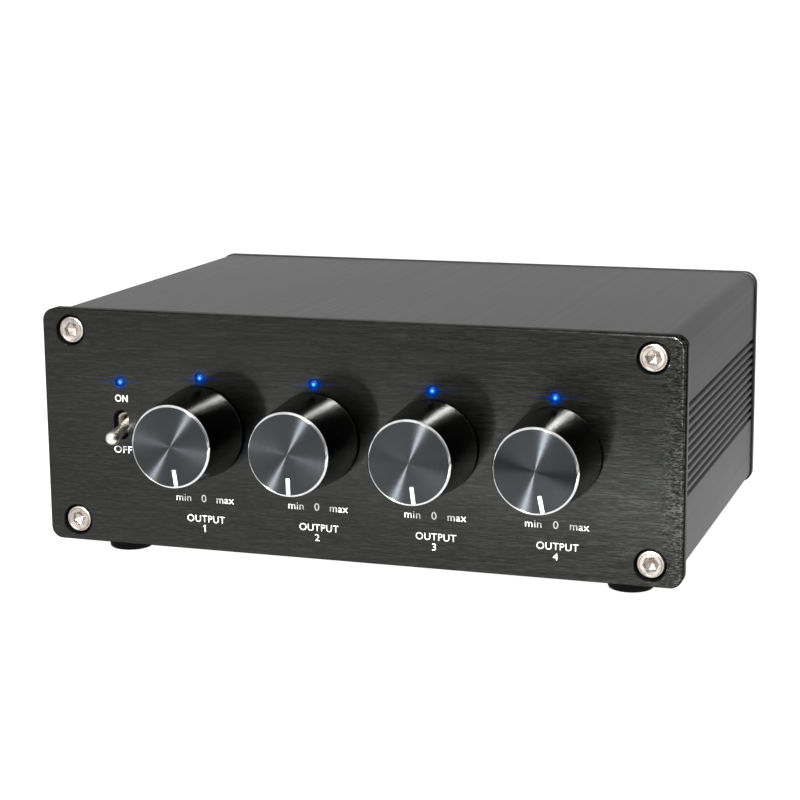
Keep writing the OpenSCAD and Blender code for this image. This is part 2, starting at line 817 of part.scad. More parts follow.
// Two jacks stand above one another in a housing, with a screw between them
module jack_housing() {
    h = 2 * jack_rise + jack_spacing;
    screw_room = jack_screw_len + push_clear;
    difference() {
        union() {
            block([jack_body_w, jack_body_depth, h],
                [-jack_body_w / 2, case_back_y - jack_body_depth, board_top_z]);
            for (r = [0, 1]) translate([0, 0, jack_low_z + r * jack_spacing])
                rod_y(jack_collar_d, case_back_y - cut, cut + rear_panel_t + collar_proud);
        }
        for (r = [0, 1]) translate([0, 0, jack_low_z + r * jack_spacing])
            rod_y(sleeve_seat_d + 2 * push_clear, sleeve_back_y, collar_end_y - sleeve_back_y + cut);
        translate([0, 0, jack_mid_z])
            rod_y(jack_screw_d + 2 * push_clear, back_y - screw_room, screw_room);
    }
}

module jack_housings() {
    color(plastic_black) placed() for (c = [0:jack_columns - 1])
        translate([jack_place_x(c), 0, 0]) jack_housing();
}

module jack_screws() {
    head_r = jack_screw_head_d / 2;
    color(screw_black) placed() at_jacks([0.5]) translate([0, back_y, 0]) turned_y([
        [0, -jack_screw_len], [jack_screw_d / 2, -jack_screw_len], [jack_screw_d / 2, 0], [head_r, 0],
        each round_edge(head_r, jack_screw_head_h, jack_screw_round, 1), [0, jack_screw_head_h]
    ]);
}

module jack_sleeves() {
    color(brass_gold) placed() at_jacks([0, 1]) difference() {
        union() {
            rod_y(sleeve_d, collar_end_y, sleeve_end_y - collar_end_y);
            rod_y(sleeve_seat_d, sleeve_back_y, collar_end_y - sleeve_back_y + cut);
        }
        rod_y(sleeve_d - 2 * sleeve_wall, sleeve_back_y - cut, sleeve_end_y - sleeve_back_y + 2 * cut);
    }
}

module jack_insert() {
    contact_room = socket_d + 2 * (contact_wall + push_clear);
    difference() {
        rod_y(sleeve_d - 2 * (sleeve_wall + push_clear), sleeve_back_y, insert_end_y - sleeve_back_y);
        rod_y(contact_room, sleeve_back_y + insert_floor, insert_end_y - sleeve_back_y);
    }
}

module jack_inserts_white() {
    color("white") placed() at_jacks([1]) jack_insert();
}

module jack_inserts_red() {
    color("red") placed() at_jacks([0]) jack_insert();
}

module jack_contacts() {
    start_y = sleeve_back_y + insert_floor + push_clear;
    len = insert_end_y - contact_set - start_y;
    color(brass_gold) placed() at_jacks([0, 1]) difference() {
        rod_y(socket_d + 2 * contact_wall, start_y, len);
        rod_y(socket_d, start_y - cut, len + 2 * cut);
    }
}

// Power inlet

module at_inlet() {
    translate([inlet_place_x, 0, inlet_z]) children();
}

module inlet_housing() {
    color(plastic_black) placed() at_inlet() difference() {
        union() {
            block([inlet_body_w, inlet_body_depth, inlet_body_h],
                [-inlet_body_w / 2, case_back_y - inlet_body_depth, -inlet_rise]);
            rod_y(jack_collar_d, case_back_y - cut, cut + rear_panel_t + collar_proud);
        }
        rod_y(inlet_d, inlet_floor_y, inlet_depth + cut);
        rod_y(inlet_pin_d, inlet_root_y, inlet_pin_root + cut);
    }
}

module inlet_pin() {
    len = inlet_pin_root + inlet_depth - inlet_pin_set;
    color(silver) placed() at_inlet() rod_y(inlet_pin_d, inlet_root_y, len);
}

front_panel();
case_shell();
rear_panel();
front_screws();
rear_screws();
foot_front_left();
foot_front_right();
foot_rear_left();
foot_rear_right();
for (i = [1:control_count]) {
    knob_shell(i);
    knob_core(i);
    knob_pointer(i);
    pot_shaft(i);
    pot_body(i);
}
pot_nuts();
pot_washers();
switch_housing();
switch_bushing();
switch_lever();
switch_pins();
lamp_power();
lamp_1();
lamp_2();
lamp_3();
lamp_4();
lamp_leads();
main_board();
chip_sockets();
amplifier_chips();
coupling_capacitors();
supply_capacitors();
voltage_regulator();
resistors();
jack_housings();
jack_screws();
jack_sleeves();
jack_inserts_white();
jack_inserts_red();
jack_contacts();
inlet_housing();
inlet_pin();
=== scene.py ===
"""Looks of an audio splitter box: panels, case, knobs, switch, lamps, lettering and jacks.

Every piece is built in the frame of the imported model, in metres, with the front along -Y
and +Z up.
"""

import json
import math

import bmesh
import bpy
from bpy.props import FloatProperty, FloatVectorProperty, IntProperty, PointerProperty
from mathutils import Matrix, Vector
from mathutils.geometry import tessellate_polygon


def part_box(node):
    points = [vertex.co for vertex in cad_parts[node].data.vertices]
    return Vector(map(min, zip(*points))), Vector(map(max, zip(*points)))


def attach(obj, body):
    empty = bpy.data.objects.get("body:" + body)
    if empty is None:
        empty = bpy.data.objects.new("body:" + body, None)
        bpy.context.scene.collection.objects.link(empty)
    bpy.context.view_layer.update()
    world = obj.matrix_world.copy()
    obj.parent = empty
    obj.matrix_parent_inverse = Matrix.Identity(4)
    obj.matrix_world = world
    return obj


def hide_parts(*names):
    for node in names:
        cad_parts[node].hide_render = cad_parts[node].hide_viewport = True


bl_info = {
    "name": "Audio splitter box",
    "version": (1, 0, 0),
    "blender": (4, 5, 0),
    "location": "View3D > Sidebar > Splitter",
    "description": "Builds the looks of an audio splitter box around its packed model",
    "category": "Object",
}

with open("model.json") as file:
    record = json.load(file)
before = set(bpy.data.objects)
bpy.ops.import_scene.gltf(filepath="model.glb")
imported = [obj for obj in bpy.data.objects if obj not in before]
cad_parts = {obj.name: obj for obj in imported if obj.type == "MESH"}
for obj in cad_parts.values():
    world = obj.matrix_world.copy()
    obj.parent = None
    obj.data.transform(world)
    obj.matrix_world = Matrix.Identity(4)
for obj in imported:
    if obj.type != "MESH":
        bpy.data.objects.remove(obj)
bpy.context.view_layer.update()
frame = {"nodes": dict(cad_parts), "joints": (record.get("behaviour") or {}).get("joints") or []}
MM = 0.001
CASE_BODY = "case"
KNOBS = (1, 2, 3, 4)
GRAIN = "grain"

# Flat margin around an edge, play of a black sheet of painted shade, and lift of a foot's sole over
# the floor
MARGIN = 0.15 * MM
SNUG = 0.01 * MM
SOLE_LIFT = 0.001 * MM

# Corners around each turned piece and each hole, and steps along a rounding or an arc
SCREW_CORNERS = 48
FOOT_CORNERS = 64
KNOB_SIDE_CORNERS = 128
KNOB_FACE_CORNERS = 160
LEVER_CORNERS = 48
BUSHING_CORNERS = 64
LAMP_CORNERS = 40
JACK_CORNERS = 56
JACK_SCREW_CORNERS = 40
INLET_CORNERS = 64
PIN_CORNERS = 32
HOLE_CORNERS = 48
CORNER_STEPS = 8
EDGE_STEPS = 3
SLOT_STEPS = 16
ARC_STEPS = 10

# Angles in degrees from which an edge is sharp
CREASE = 40
KNOB_CREASE = 30
SCREW_CREASE = 28

# A radius below this lies on the axis, and the ends of a slot are a little less than half round
ON_AXIS = 1e-7
SLOT_ROUND = 0.999

# How far the grain map of a flat piece leans with depth
GRAIN_LEAN = (0.31, 0.17)

# Inner edge of a screw head's crown and depth of its drill point, as shares of its socket
SOCKET_LAND = 1.12
SOCKET_TIP = 0.3

# Small roundings, depths and gaps
HEAD_UNDER_ROUND = 0.1 * MM
FOOT_DIP = 0.25 * MM
FOOT_TOP_ROUND = 0.3 * MM
HOLLOW_ROUND = 0.2 * MM
RIM_ROUNDS = (0.03 * MM, 0.05 * MM)
POINTER_ROUND = 0.2 * MM
CONTACT_ROUND = 0.15 * MM
INSERT_START = 1 * MM
INSERT_PLAY = 0.02 * MM
INSERT_ROUND = 0.1 * MM
JACK_SHANK = 1.1 * MM
JACK_HEAD_ROUND = 0.6 * MM
DRIVE_RADIUS = 0.35 * MM
DRIVE_DEPTH = 0.5 * MM
COLLAR_ROUND = 0.25 * MM
INLET_FLOOR = 1 * MM

# Rounding of the inlet pin's end as a share of its radius
PIN_ROUND = 0.4

# Weights of the print as shares of its height, its spacing, and a capital's share of the size
BOLD, PLAIN, FIGURE = 0.003, -0.006, 0.008
LETTER_SPACE = 1.06
LETTER_STEPS = 6
CAPITAL_SHARE = 0.73
FIGURE_ONE = ((0, 0), (0.15, 0), (0.15, 1), (0.04, 1), (-0.17, 0.82), (-0.17, 0.67), (0, 0.77))
INLET_NAME_DROP = 12 * MM

# Repeats of a pattern per metre, along x, y and z
STROKES = (480, 480, 4300)
DASHES = (130, 130, 2600)
GLINT_FLECKS = (1500, 1500, 3600)
PANEL_CLOUD = (14, 14, 40)
BLAST = (3600, 3600, 3600)
DRAWN = (900, 9, 900)
CASE_CLOUD = (16, 16, 16)
SIDE_CLOUD = (120, 120, 120)
CUT_TARNISH = (380, 380, 380)
CAST_TARNISH = (500, 500, 500)
CAST_GRAIN = (5200, 5200, 5200)
MOULD_CLOUD = (150, 150, 150)
BOARD_CLOUD = (200, 200, 200)
FLOOR_CLOUD = (2, 2, 2)

# Repeats of a pattern per metre along the grain map, and per turn around it
RINGS = (9000, 1.5, 1)
BANDS = (1500, 2, 1)
TURNING = (7000, 1, 1)
CUT_MARKS = (6000, 2, 1)

# Depths of the relief in a finish
SCRATCH = 0.01 * MM
BRUSHING = 0.02 * MM
MOULD_RELIEF = 0.03 * MM
TRACK_RELIEF = 0.04 * MM

# Where along x the strokes' colour contrast rises toward the right end, a painted sheen, and where
# bright specks of painted glint are added to the colour at that end
SHEEN_RISE = (0, 60 * MM)
GLINT_SPAN = (63.2 * MM, 68.4 * MM)

# Copper tracks of the board: repeats per metre, and width as a share
TRACKS = 90
TRACK_WIDTH = 0.06

# Reach of the light across a lens, and its power in the middle and at the edge
LENS_GLOW = 0.66 * MM
LENS_POWER = 1.1
LENS_EDGE_POWER = 0.35

# The camera's near limit, the table top's fade and band, and the edges of the dark opening
CLIP_START = 10 * MM
TABLE_FADE = (100 * MM, 250 * MM)
TABLE_BAND = 100 * MM
BAND_STOPS = (0.29, 0.33, 0.45, 0.47, 0.7, 0.78)
OPENING_EDGES = (0.62, 0.86)

# Pieces that the key light leaves out
KEY_SHADE = "out_of_the_key"

# How much red counts against a lamp's blue, the streak's thickness in pixels, and the glow's tint
RED_WEIGHT = 2.0
STREAK_THICKNESS = 2
GLOW_RED = -0.1
GLOW_GREEN = 0.06


def span(node):
    """Middle and half size of a CAD node's box."""
    low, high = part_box(node)
    return (low + high) / 2, (high - low) / 2


# Settings


def length(name, description, millimetres):
    return FloatProperty(
        name=name, description=description, default=millimetres * MM, unit="LENGTH", precision=5)


def angle(name, description, degrees):
    return FloatProperty(
        name=name, description=description, default=math.radians(degrees), subtype="ANGLE")


def colour(name, description, value):
    return FloatVectorProperty(
        name=name, description=description, default=value, size=3, subtype="COLOR", min=0, max=1)


def number(name, description, value):
    return FloatProperty(name=name, description=description, default=value)


def spot(name, description, value):
    return FloatVectorProperty(
        name=name, description=description, default=value, size=3, subtype="TRANSLATION",
        unit="LENGTH")


def heading(name, description, value):
    return FloatVectorProperty(
        name=name, description=description, default=value, size=3, subtype="DIRECTION")


class CaseSettings(bpy.types.PropertyGroup):
    """Sizes of the front panel, the case and the rear panel."""

    panel_corner: length("Panel corner", "Corner radius of the front panel", 2.6)
    panel_edge: length("Panel edge", "Rounding along the front panel's edges", 0.45)
    hole_edge: length("Hole edge", "Bevel around a hole in a panel", 0.12)
    slot_edge: length("Slot edge", "Bevel around the slot for the switch lever", 0.05)
    recess: length("Screw recess", "Diameter of the counterbore for a screw head", 6.7)
    recess_depth: length("Recess depth", "Depth of that counterbore", 2.2)
    screw_hole: length("Screw hole", "Diameter of a hole for a panel screw", 3.1)
    shaft_hole: length("Shaft hole", "Diameter of a hole for a control", 7.7)
    lamp_hole: length("Lamp hole", "Diameter of a hole for a lamp", 2)
    slot_width: length("Slot width", "Width of the slot for the switch lever", 3.6)
    slot_height: length("Slot height", "Height of the slot for the switch lever", 6.3)
    bushing_hole: length("Bushing hole", "Diameter of the hole for the switch from behind", 5.1)
    bushing_seat: length("Bushing seat", "Depth of that hole from behind", 1.8)
    case_corner: length("Case corner", "Outer corner radius of the case", 3)
    case_wall: length("Case wall", "Wall of the case extrusion", 2.2)
    groove_count: IntProperty(
        name="Grooves", description="Grooves along each side", default=11, min=1)
    groove_pitch: length("Groove pitch", "Distance from one groove to the next", 1.82)
    groove_width: length("Groove width", "Width of a groove", 0.8)
    groove_depth: length("Groove depth", "Depth of a groove", 0.75)
    groove_slope: length(
        "Groove slope", "How far a wall of a groove leans to either side of its middle", 0.18)
    rear_edge: length("Rear edge", "Rounding along the rear panel's edges", 0.3)
    jack_hole: length("Jack hole", "Diameter of a hole for a jack or the inlet", 9.6)
    jack_screw_hole: length("Jack screw hole", "Diameter of a hole for a jack's screw", 2.3)


class FastenerSettings(bpy.types.PropertyGroup):
    """Sizes of the screws and the feet."""

    head: length("Screw head", "Diameter of a panel screw's head", 5.7)
    head_height: length("Head height", "Height of a panel screw's head", 1.7)
    head_round: length("Head rounding", "Rounding of a panel screw's head", 0.35)
    head_ring: length(
        "Head ring", "Diameter of the shallow ring cut into a panel screw's head", 4.64)
    ring_width: length("Ring width", "Half the width of that ring", 0.13)
    ring_depth: length("Ring depth", "Depth of that ring", 0.12)
    # A black sheet of painted shade in each counterbore and in the slot: its thickness
    lining: length("Lining", "Thickness of the black lining in a counterbore or the slot", 0.06)
    shank: length("Shank", "Diameter of a panel screw's shank", 3)
    shank_length: length("Shank length", "Length of a panel screw under its head", 12)
    socket: length("Socket", "Across the flats of the socket in a screw head", 2.7)
    socket_depth: length("Socket depth", "Depth of that socket", 1.1)
    socket_bevel: length("Socket bevel", "Bevel around that socket", 0.15)
    turn_seed: IntProperty(
        name="Turn seed", description="Seed for how far each screw is turned", default=4)
    jack_head: length("Jack screw head", "Diameter of the head of a jack's screw", 3.6)
    jack_head_height: length("Jack head height", "Height of that head", 1.2)
    foot_round: length("Foot rounding", "Rounding of a foot's lower edge", 0.6)
    foot_ring: length("Foot ring", "Width of the shallow ring around a foot's sole", 1.2)


class KnobSettings(bpy.types.PropertyGroup):
    """Sizes of the knobs."""

    rim_diameter: length("Rim diameter", "Diameter of a knob at the outer edge of its rim", 17.4)
    rim: length("Rim", "Width of the cut rim around a knob's face", 0.45)
    face_set: length("Face set", "How far the spun face lies behind the edge of the rim", 0.04)
    face_thickness: length("Face thickness", "Thickness of the spun face", 0.5)
    base_round: length("Base rounding", "Rounding of a knob's base", 0.4)
    hollow: length("Hollow", "Diameter of the hollow in a knob's base", 14)
    hollow_depth: length("Hollow depth", "Depth of that hollow", 3.6)
    core: length("Core hole", "Diameter of the hole for the core", 10.1)
    core_floor: length("Core floor", "Distance from the face to the floor of that hole", 2)
    pointer_width: length("Pointer width", "Width of a pointer", 0.8)
    pointer_length: length("Pointer length", "Length of a pointer", 3.4)
    pointer_set: length("Pointer set", "How far a pointer lies behind the edge of the rim", 0.02)
    pointer_depth: length("Pointer depth", "Depth of a pointer", 0.25)
    pointer_gap: length("Pointer gap", "Gap between a pointer and the rim", 0.05)


class SwitchSettings(bpy.types.PropertyGroup):
    """Sizes of the power switch and the lamps."""

    lever: length("Lever", "Diameter of the lever where it leaves the bushing", 2.3)
    lever_neck: length("Lever neck", "Diameter of the lever behind its tip", 2.55)
    lever_tip: length("Lever tip", "Diameter of the lever's tip", 3.0)
    lever_length: length("Lever length", "Distance from the pivot to the middle of the tip", 10.1)
    lever_straight: length(
        "Lever straight", "Distance from the pivot to the start of the taper", 4.5)
    lever_ball: length("Lever ball", "Diameter of the ball at the pivot", 3)
    lever_tilt: angle(
        "Lever tilt", "Tilt of the lever below the level when the switch is off", 11.5)
    bushing_wall: length("Bushing wall", "Wall of the switch's bushing", 0.7)
    bushing_round: length("Bushing rounding", "Rounding of the bushing's front edge", 0.35)
    lens: length("Lens", "Diameter of a lamp's lens", 1.9)
    lens_round: length("Lens rounding", "Rounding of a lens at its front", 0.5)


class LetterSettings(bpy.types.PropertyGroup):
    """Sizes and places of the printed words, measured from the lower edge of the front panel."""

    thickness: length("Ink", "Thickness of the print", 0.02)
    capital: length("Capitals", "Height of a capital letter", 1.56)
    range_height: length("Range capitals", "Height of the figure under a knob", 1.66)
    range_z: length("Range height", "Height of the middle of the range marks", 11.35)
    range_left: length("Low mark", "Distance of the low mark from the control axis", -4.42)
    range_middle: length("Middle mark", "Distance of the middle mark from the control axis", 0.22)
    range_right: length("High mark", "Distance of the high mark from the control axis", 5.1)
    name_x: length("Name place", "Distance of an output's name from the control axis", 0.6)
    number_x: length("Number place", "Distance of an output's number from the control axis", 0.18)
    name_z: length("Name height", "Height of the middle of an output's name", 6.92)
    number_z: length("Number height", "Height of the middle of an output's number", 4.78)
    on_z: length("On height", "Height of the middle of the upper switch mark", 31.9)
    mark_x: length("Mark place", "Distance of the switch marks from the middle of the switch", 0.18)
    off_z: length("Off height", "Height of the middle of the lower switch mark", 20.8)
    rear_name_z: length("Rear names", "Height of the middle of the names on the back", 42.5)
    rear_number_z: length("Rear numbers", "Height of the middle of the numbers on the back", 40)


class JackSettings(bpy.types.PropertyGroup):
    """Sizes of the phono jacks and the power inlet."""

    columns: IntProperty(name="Columns", description="Pairs of jacks", default=5, min=1)
    sleeve: length("Sleeve", "Outer diameter of a jack's sleeve", 8.3)
    sleeve_wall: length("Sleeve wall", "Wall of a sleeve", 0.7)
    sleeve_lip: length("Sleeve lip", "Rounding of a sleeve's end", 0.3)
    insert_set: length("Insert set", "How far the insert stays behind the end of its sleeve", 0.2)
    insert_mouth: length("Insert mouth", "Bevel around the hole in an insert", 0.3)
    contact: length("Contact", "Outer diameter of the spring contact", 4.1)
    contact_bore: length("Contact bore", "Hole for the centre pin of a plug", 3.3)
    contact_set: length(
        "Contact set", "How far the contact stays behind the face of its insert", 0.3)
    collar: length("Collar", "Diameter of the collar in the rear panel", 9.4)
    inlet: length("Inlet", "Hole for the power plug", 6.4)
    inlet_depth: length("Inlet depth", "Depth of that hole", 9.5)
    inlet_mouth: length("Inlet mouth", "Bevel around that hole", 0.5)


class FinishSettings(bpy.types.PropertyGroup):
    """Colours of the finishes."""

    panel: colour("Front panel", "Black anodised brushed aluminium", (0.0422, 0.043, 0.0405))
    case: colour("Case", "Black anodised satin aluminium", (0.041, 0.0405, 0.040))
    face: colour("Knob face", "Black anodised spun aluminium", (0.052, 0.056, 0.060))
    side: colour("Knob side", "Black anodised turned aluminium", (0.014, 0.014, 0.014))
    rim: colour("Knob rim", "Bare cut aluminium", (0.9, 0.9, 0.9))
    steel: colour("Screws", "Stainless steel", (0.52, 0.475, 0.435))
    chrome: colour("Switch", "Bright plating", (0.84, 0.81, 0.76))
    rubber: colour("Feet", "Black rubber", (0.004, 0.004, 0.004))
    # Colour of the black sheets of painted shade in the counterbores and the slot
    lining: colour("Lining", "Black lining of the counterbores and the slot", (0.005, 0.005, 0.005))
    ink: colour("Print", "White ink", (0.86, 0.86, 0.85))
    lamp: colour("Lamp", "Blue light around the middle of a lens", (0.02, 0.17, 0.58))
    lamp_edge: colour("Lamp edge", "Light at the edge of a lens", (0.03, 0.03, 0.05))
    lens: colour("Lens", "Smoked plastic of a lens", (0.0125, 0.0145, 0.02))
    lamp_core: colour("Lamp core", "Light in the middle of a lens", (0.22, 0.82, 1.0))
    gold: colour("Jacks", "Gold plating", (0.83, 0.6, 0.26))
    white_plastic: colour("White inserts", "White plastic", (0.78, 0.77, 0.73))
    red_plastic: colour("Red inserts", "Red plastic", (0.5, 0.012, 0.012))
    black_plastic: colour("Black plastic", "Black moulded plastic", (0.018, 0.018, 0.019))
    board: colour("Board", "Green lacquer of the circuit board", (0.012, 0.12, 0.05))
    sleeve: colour("Capacitors", "Dark blue capacitor sleeve", (0.014, 0.022, 0.07))
    lacquer: colour("Resistors", "Blue resistor lacquer", (0.1, 0.26, 0.4))
    tin: colour("Plated parts", "Tin plated steel", (0.62, 0.61, 0.58))
    black_steel: colour("Black screws", "Blackened steel", (0.05, 0.05, 0.052))
    floor: colour("Floor", "Pale studio floor", (0.2, 0.2, 0.2))


class StageSettings(bpy.types.PropertyGroup):
    """Camera, light and floor."""

    camera_place: spot("Camera", "Place of the camera", (0.14322, -0.4324, 0.12203))
    camera_turn: angle("Camera turn", "Turn of the camera to the left", 18.78)
    camera_drop: angle("Camera drop", "Tilt of the camera below the level", 11.441)
    camera_roll: angle("Camera roll", "Roll of the camera", -0.577)
    lens: number("Lens", "Focal length in millimetres on a 36 mm sensor", 93.2)
    key_place: spot("Key light", "Place of the key light", (-0.004, -1.059, 0.525))
    key_size: length("Key size", "Width of the key light", 110)
    key_power: number("Key power", "Power of the key light in watts", 32)
    world_light: number("World light", "Strength of the white surroundings", 0.88)
    opening: heading(
        "Opening", "Direction to the dark opening of the light tent", (0.55, -0.8, 0.2))
    opening_light: number("Opening light", "Share of the light that comes from the opening", 0.2)
    floor_size: length("Floor size", "Width of the floor", 80000)
    floor_glow: number("Floor glow", "Light that the pale floor adds by itself", 0.95)
    table_size: length("Table size", "Width of the table top that shows in gloss", 6000)
    table_lift: length("Table lift", "Height of that table top over the floor", 0.4)
    table_near: number("Table near", "Light of the table top beside the box", 1.1)
    table_far: number("Table far", "Light of the table top away from the box", 0.66)
    band: heading("Band", "Direction across the dark band on the table top", (0.41, -0.91, 0))
    band_start: length("Band start", "Distance of the band's bright edge from the middle", 149.9)
    band_light: number("Band light", "Light of the strip beside the band, as a share", 4.5)
    band_dark: number("Band dark", "Light of the band, as a share", 0.0)
    glow_from: number("Glow from", "How much bluer than red a lamp is before it glows", 0.15)
    glow_size: number("Glow size", "Reach of the glow around a lamp in pixels", 10)
    glow: number("Glow", "Strength of that glow", 13.5)
    streak_size: number("Streak size", "Reach of the level streak through a lamp in pixels", 34)
    streak: number("Streak", "Strength of that streak", 2.2)


GROUPS = {
    "splitter_case": CaseSettings,
    "splitter_fasteners": FastenerSettings,
    "splitter_knobs": KnobSettings,
    "splitter_switch": SwitchSettings,
    "splitter_letters": LetterSettings,
    "splitter_jacks": JackSettings,
    "splitter_finish": FinishSettings,
    "splitter_stage": StageSettings,
}

# Outlines and meshes


def fillet(points, radii, steps, closed=True):
    """A polyline whose corners are rounded, each by its own radius."""
    result = []
    count = len(points)
    for i, point in enumerate(points):
        corner = Vector(point)
        radius = radii[i]
        end = not closed and i in (0, count - 1)
        if radius <= 0 or end:
            result.append(tuple(corner))
            continue
        back = (Vector(points[i - 1]) - corner).normalized()
        ahead = (Vector(points[(i + 1) % count]) - corner).normalized()
        half = back.angle(ahead) / 2
        middle = corner + (back + ahead).normalized() * radius / math.sin(half)
        start = corner + back * radius / math.tan(half) - middle
        stop = corner + ahead * radius / math.tan(half) - middle
        turn = math.atan2(start.x * stop.y - start.y * stop.x, start.dot(stop))
        for k in range(steps + 1):
            bend = turn * k / steps
            x = start.x * math.cos(bend) - start.y * math.sin(bend)
            y = start.x * math.sin(bend) + start.y * math.cos(bend)
            result.append((middle.x + x, middle.y + y))
    return result


def rectangle(width, height, radius, steps=CORNER_STEPS):
    x, z = width / 2, height / 2
    return fillet([(-x, -z), (x, -z), (x, z), (-x, z)], [radius] * 4, steps)


def circle(radius, count=HOLE_CORNERS):
    turns = [2 * math.pi * k / count for k in range(count)]
    return [(radius * math.cos(a), radius * math.sin(a)) for a in turns]


def capsule(width, height):
    """An upright slot with round ends."""
    return rectangle(width, height, width / 2 * SLOT_ROUND, SLOT_STEPS)


def shifted(loop, x, z):
    return [(a + x, b + z) for a, b in loop]


def edge_steps(radius):
    """How far in and how deep each ring of a rounded edge lies."""
    turns = [math.pi / 2 * k / EDGE_STEPS for k in range(EDGE_STEPS + 1)]
    return [(radius * (1 - math.sin(a)), radius * (1 - math.cos(a))) for a in turns]


def spin(profile, count, closed=False):
    """Turns points of radius and y about the Y axis.

    The grain map runs along the profile, then around it.
    """
    verts, faces, grains = [], [], []
    rings, runs, run = [], [], 0.0
    for i, (radius, y) in enumerate(profile):
        if i:
            run += math.dist(profile[i], profile[i - 1])
        runs.append(run)
        if radius < ON_AXIS:
            rings.append([len(verts)])
            verts.append((0, y, 0))
            continue
        rings.append(list(range(len(verts), len(verts) + count)))
        verts += [(x, y, z) for x, z in circle(radius, count)]
    pairs = [(i, i + 1) for i in range(len(profile) - 1)]
    if closed:
        pairs.append((len(profile) - 1, 0))
        runs.append(run + math.dist(profile[0], profile[-1]))
    for a, b in pairs:
        low, high = rings[a], rings[b]
        start, stop = runs[a], runs[b] if b else runs[-1]
        for k in range(count):
            turn, after = k / count, (k + 1) / count
            n = (k + 1) % count
            if len(low) == 1 and len(high) == 1:
                continue
            if len(low) == 1:
                faces.append((low[0], high[n], high[k]))
                grains.append(((start, turn), (stop, after), (stop, turn)))
            elif len(high) == 1:
                faces.append((low[k], low[n], high[0]))
                grains.append(((start, turn), (start, after), (stop, turn)))
            else:
                faces.append((low[k], low[n], high[n], high[k]))
                grains.append(((start, turn), (start, after), (stop, after), (stop, turn)))
    return verts, faces, grains, ()


def plate(outer, holes):
    """A closed plate between stacks of rings.

    Each ring is a loop in x and z at its own y, from front to back.
    """
    verts, faces, flat = [], [], []
    fronts, backs = [], []
    for stack in [outer, *holes]:
        rings = []
        for loop, y in stack:
            rings.append(list(range(len(verts), len(verts) + len(loop))))
            verts += [(x, y, z) for x, z in loop]
        for low, high, first, second in zip(rings, rings[1:], stack, stack[1:]):
            for k in range(len(low)):
                n = (k + 1) % len(low)
                if first[1] == second[1]:
                    flat.append(len(faces))
                faces.append((low[k], low[n], high[n], high[k]))
        fronts.append(rings[0])
        backs.append(rings[-1])
    for rims in (fronts, backs):
        order = [i for rim in rims for i in rim]
        loops = [[Vector((verts[i][0], verts[i][2], 0)) for i in rim] for rim in rims]
        for triangle in tessellate_polygon(loops):
            flat.append(len(faces))
            faces.append(tuple(order[i] for i in triangle))
    return verts, faces, None, flat


def mesh_of(name, shape, place=None, crease=CREASE):
    """A closed mesh with outward faces from a shape's corners, faces, grain map and flat faces."""
    verts, faces, grains, flat = shape
    along, across = GRAIN_LEAN
    mesh = bpy.data.meshes.new(name)
    bm = bmesh.new()
    corners = [bm.verts.new(v) for v in verts]
    layer = bm.loops.layers.uv.new(GRAIN)
    flat = set(flat)
    for i, face in enumerate(faces):
        made = bm.faces.new([corners[k] for k in face])
        made.smooth = i not in flat
        for k, loop in enumerate(made.loops):
            if grains:
                loop[layer].uv = grains[i][k]
            else:
                x, y, z = loop.vert.co
                loop[layer].uv = (z + along * y, x + across * y)
    bmesh.ops.recalc_face_normals(bm, faces=bm.faces)
    if place is not None:
        bm.transform(place)
    bm.to_mesh(mesh)
    bm.free()
    mesh.set_sharp_from_angle(angle=math.radians(crease))
    return mesh


def joined(name, meshes):
    """One mesh from several, which are then removed."""
    bm = bmesh.new()
    for mesh in meshes:
        bm.from_mesh(mesh)
        bpy.data.meshes.remove(mesh)
    result = bpy.data.meshes.new(name)
    bm.to_mesh(result)
    bm.free()
    return result


def add_piece(name, mesh, material, body=CASE_BODY, nodes=()):
    """Adds a finished mesh as a piece that rides on a body and stands for CAD nodes."""
    mesh.name = name
    mesh.materials.clear()
    mesh.materials.append(material)
    piece = bpy.data.objects.new(name, mesh)
    bpy.context.scene.collection.objects.link(piece)
    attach(piece, body)
    if nodes:
        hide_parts(*nodes)
    return piece


# Repeated pieces


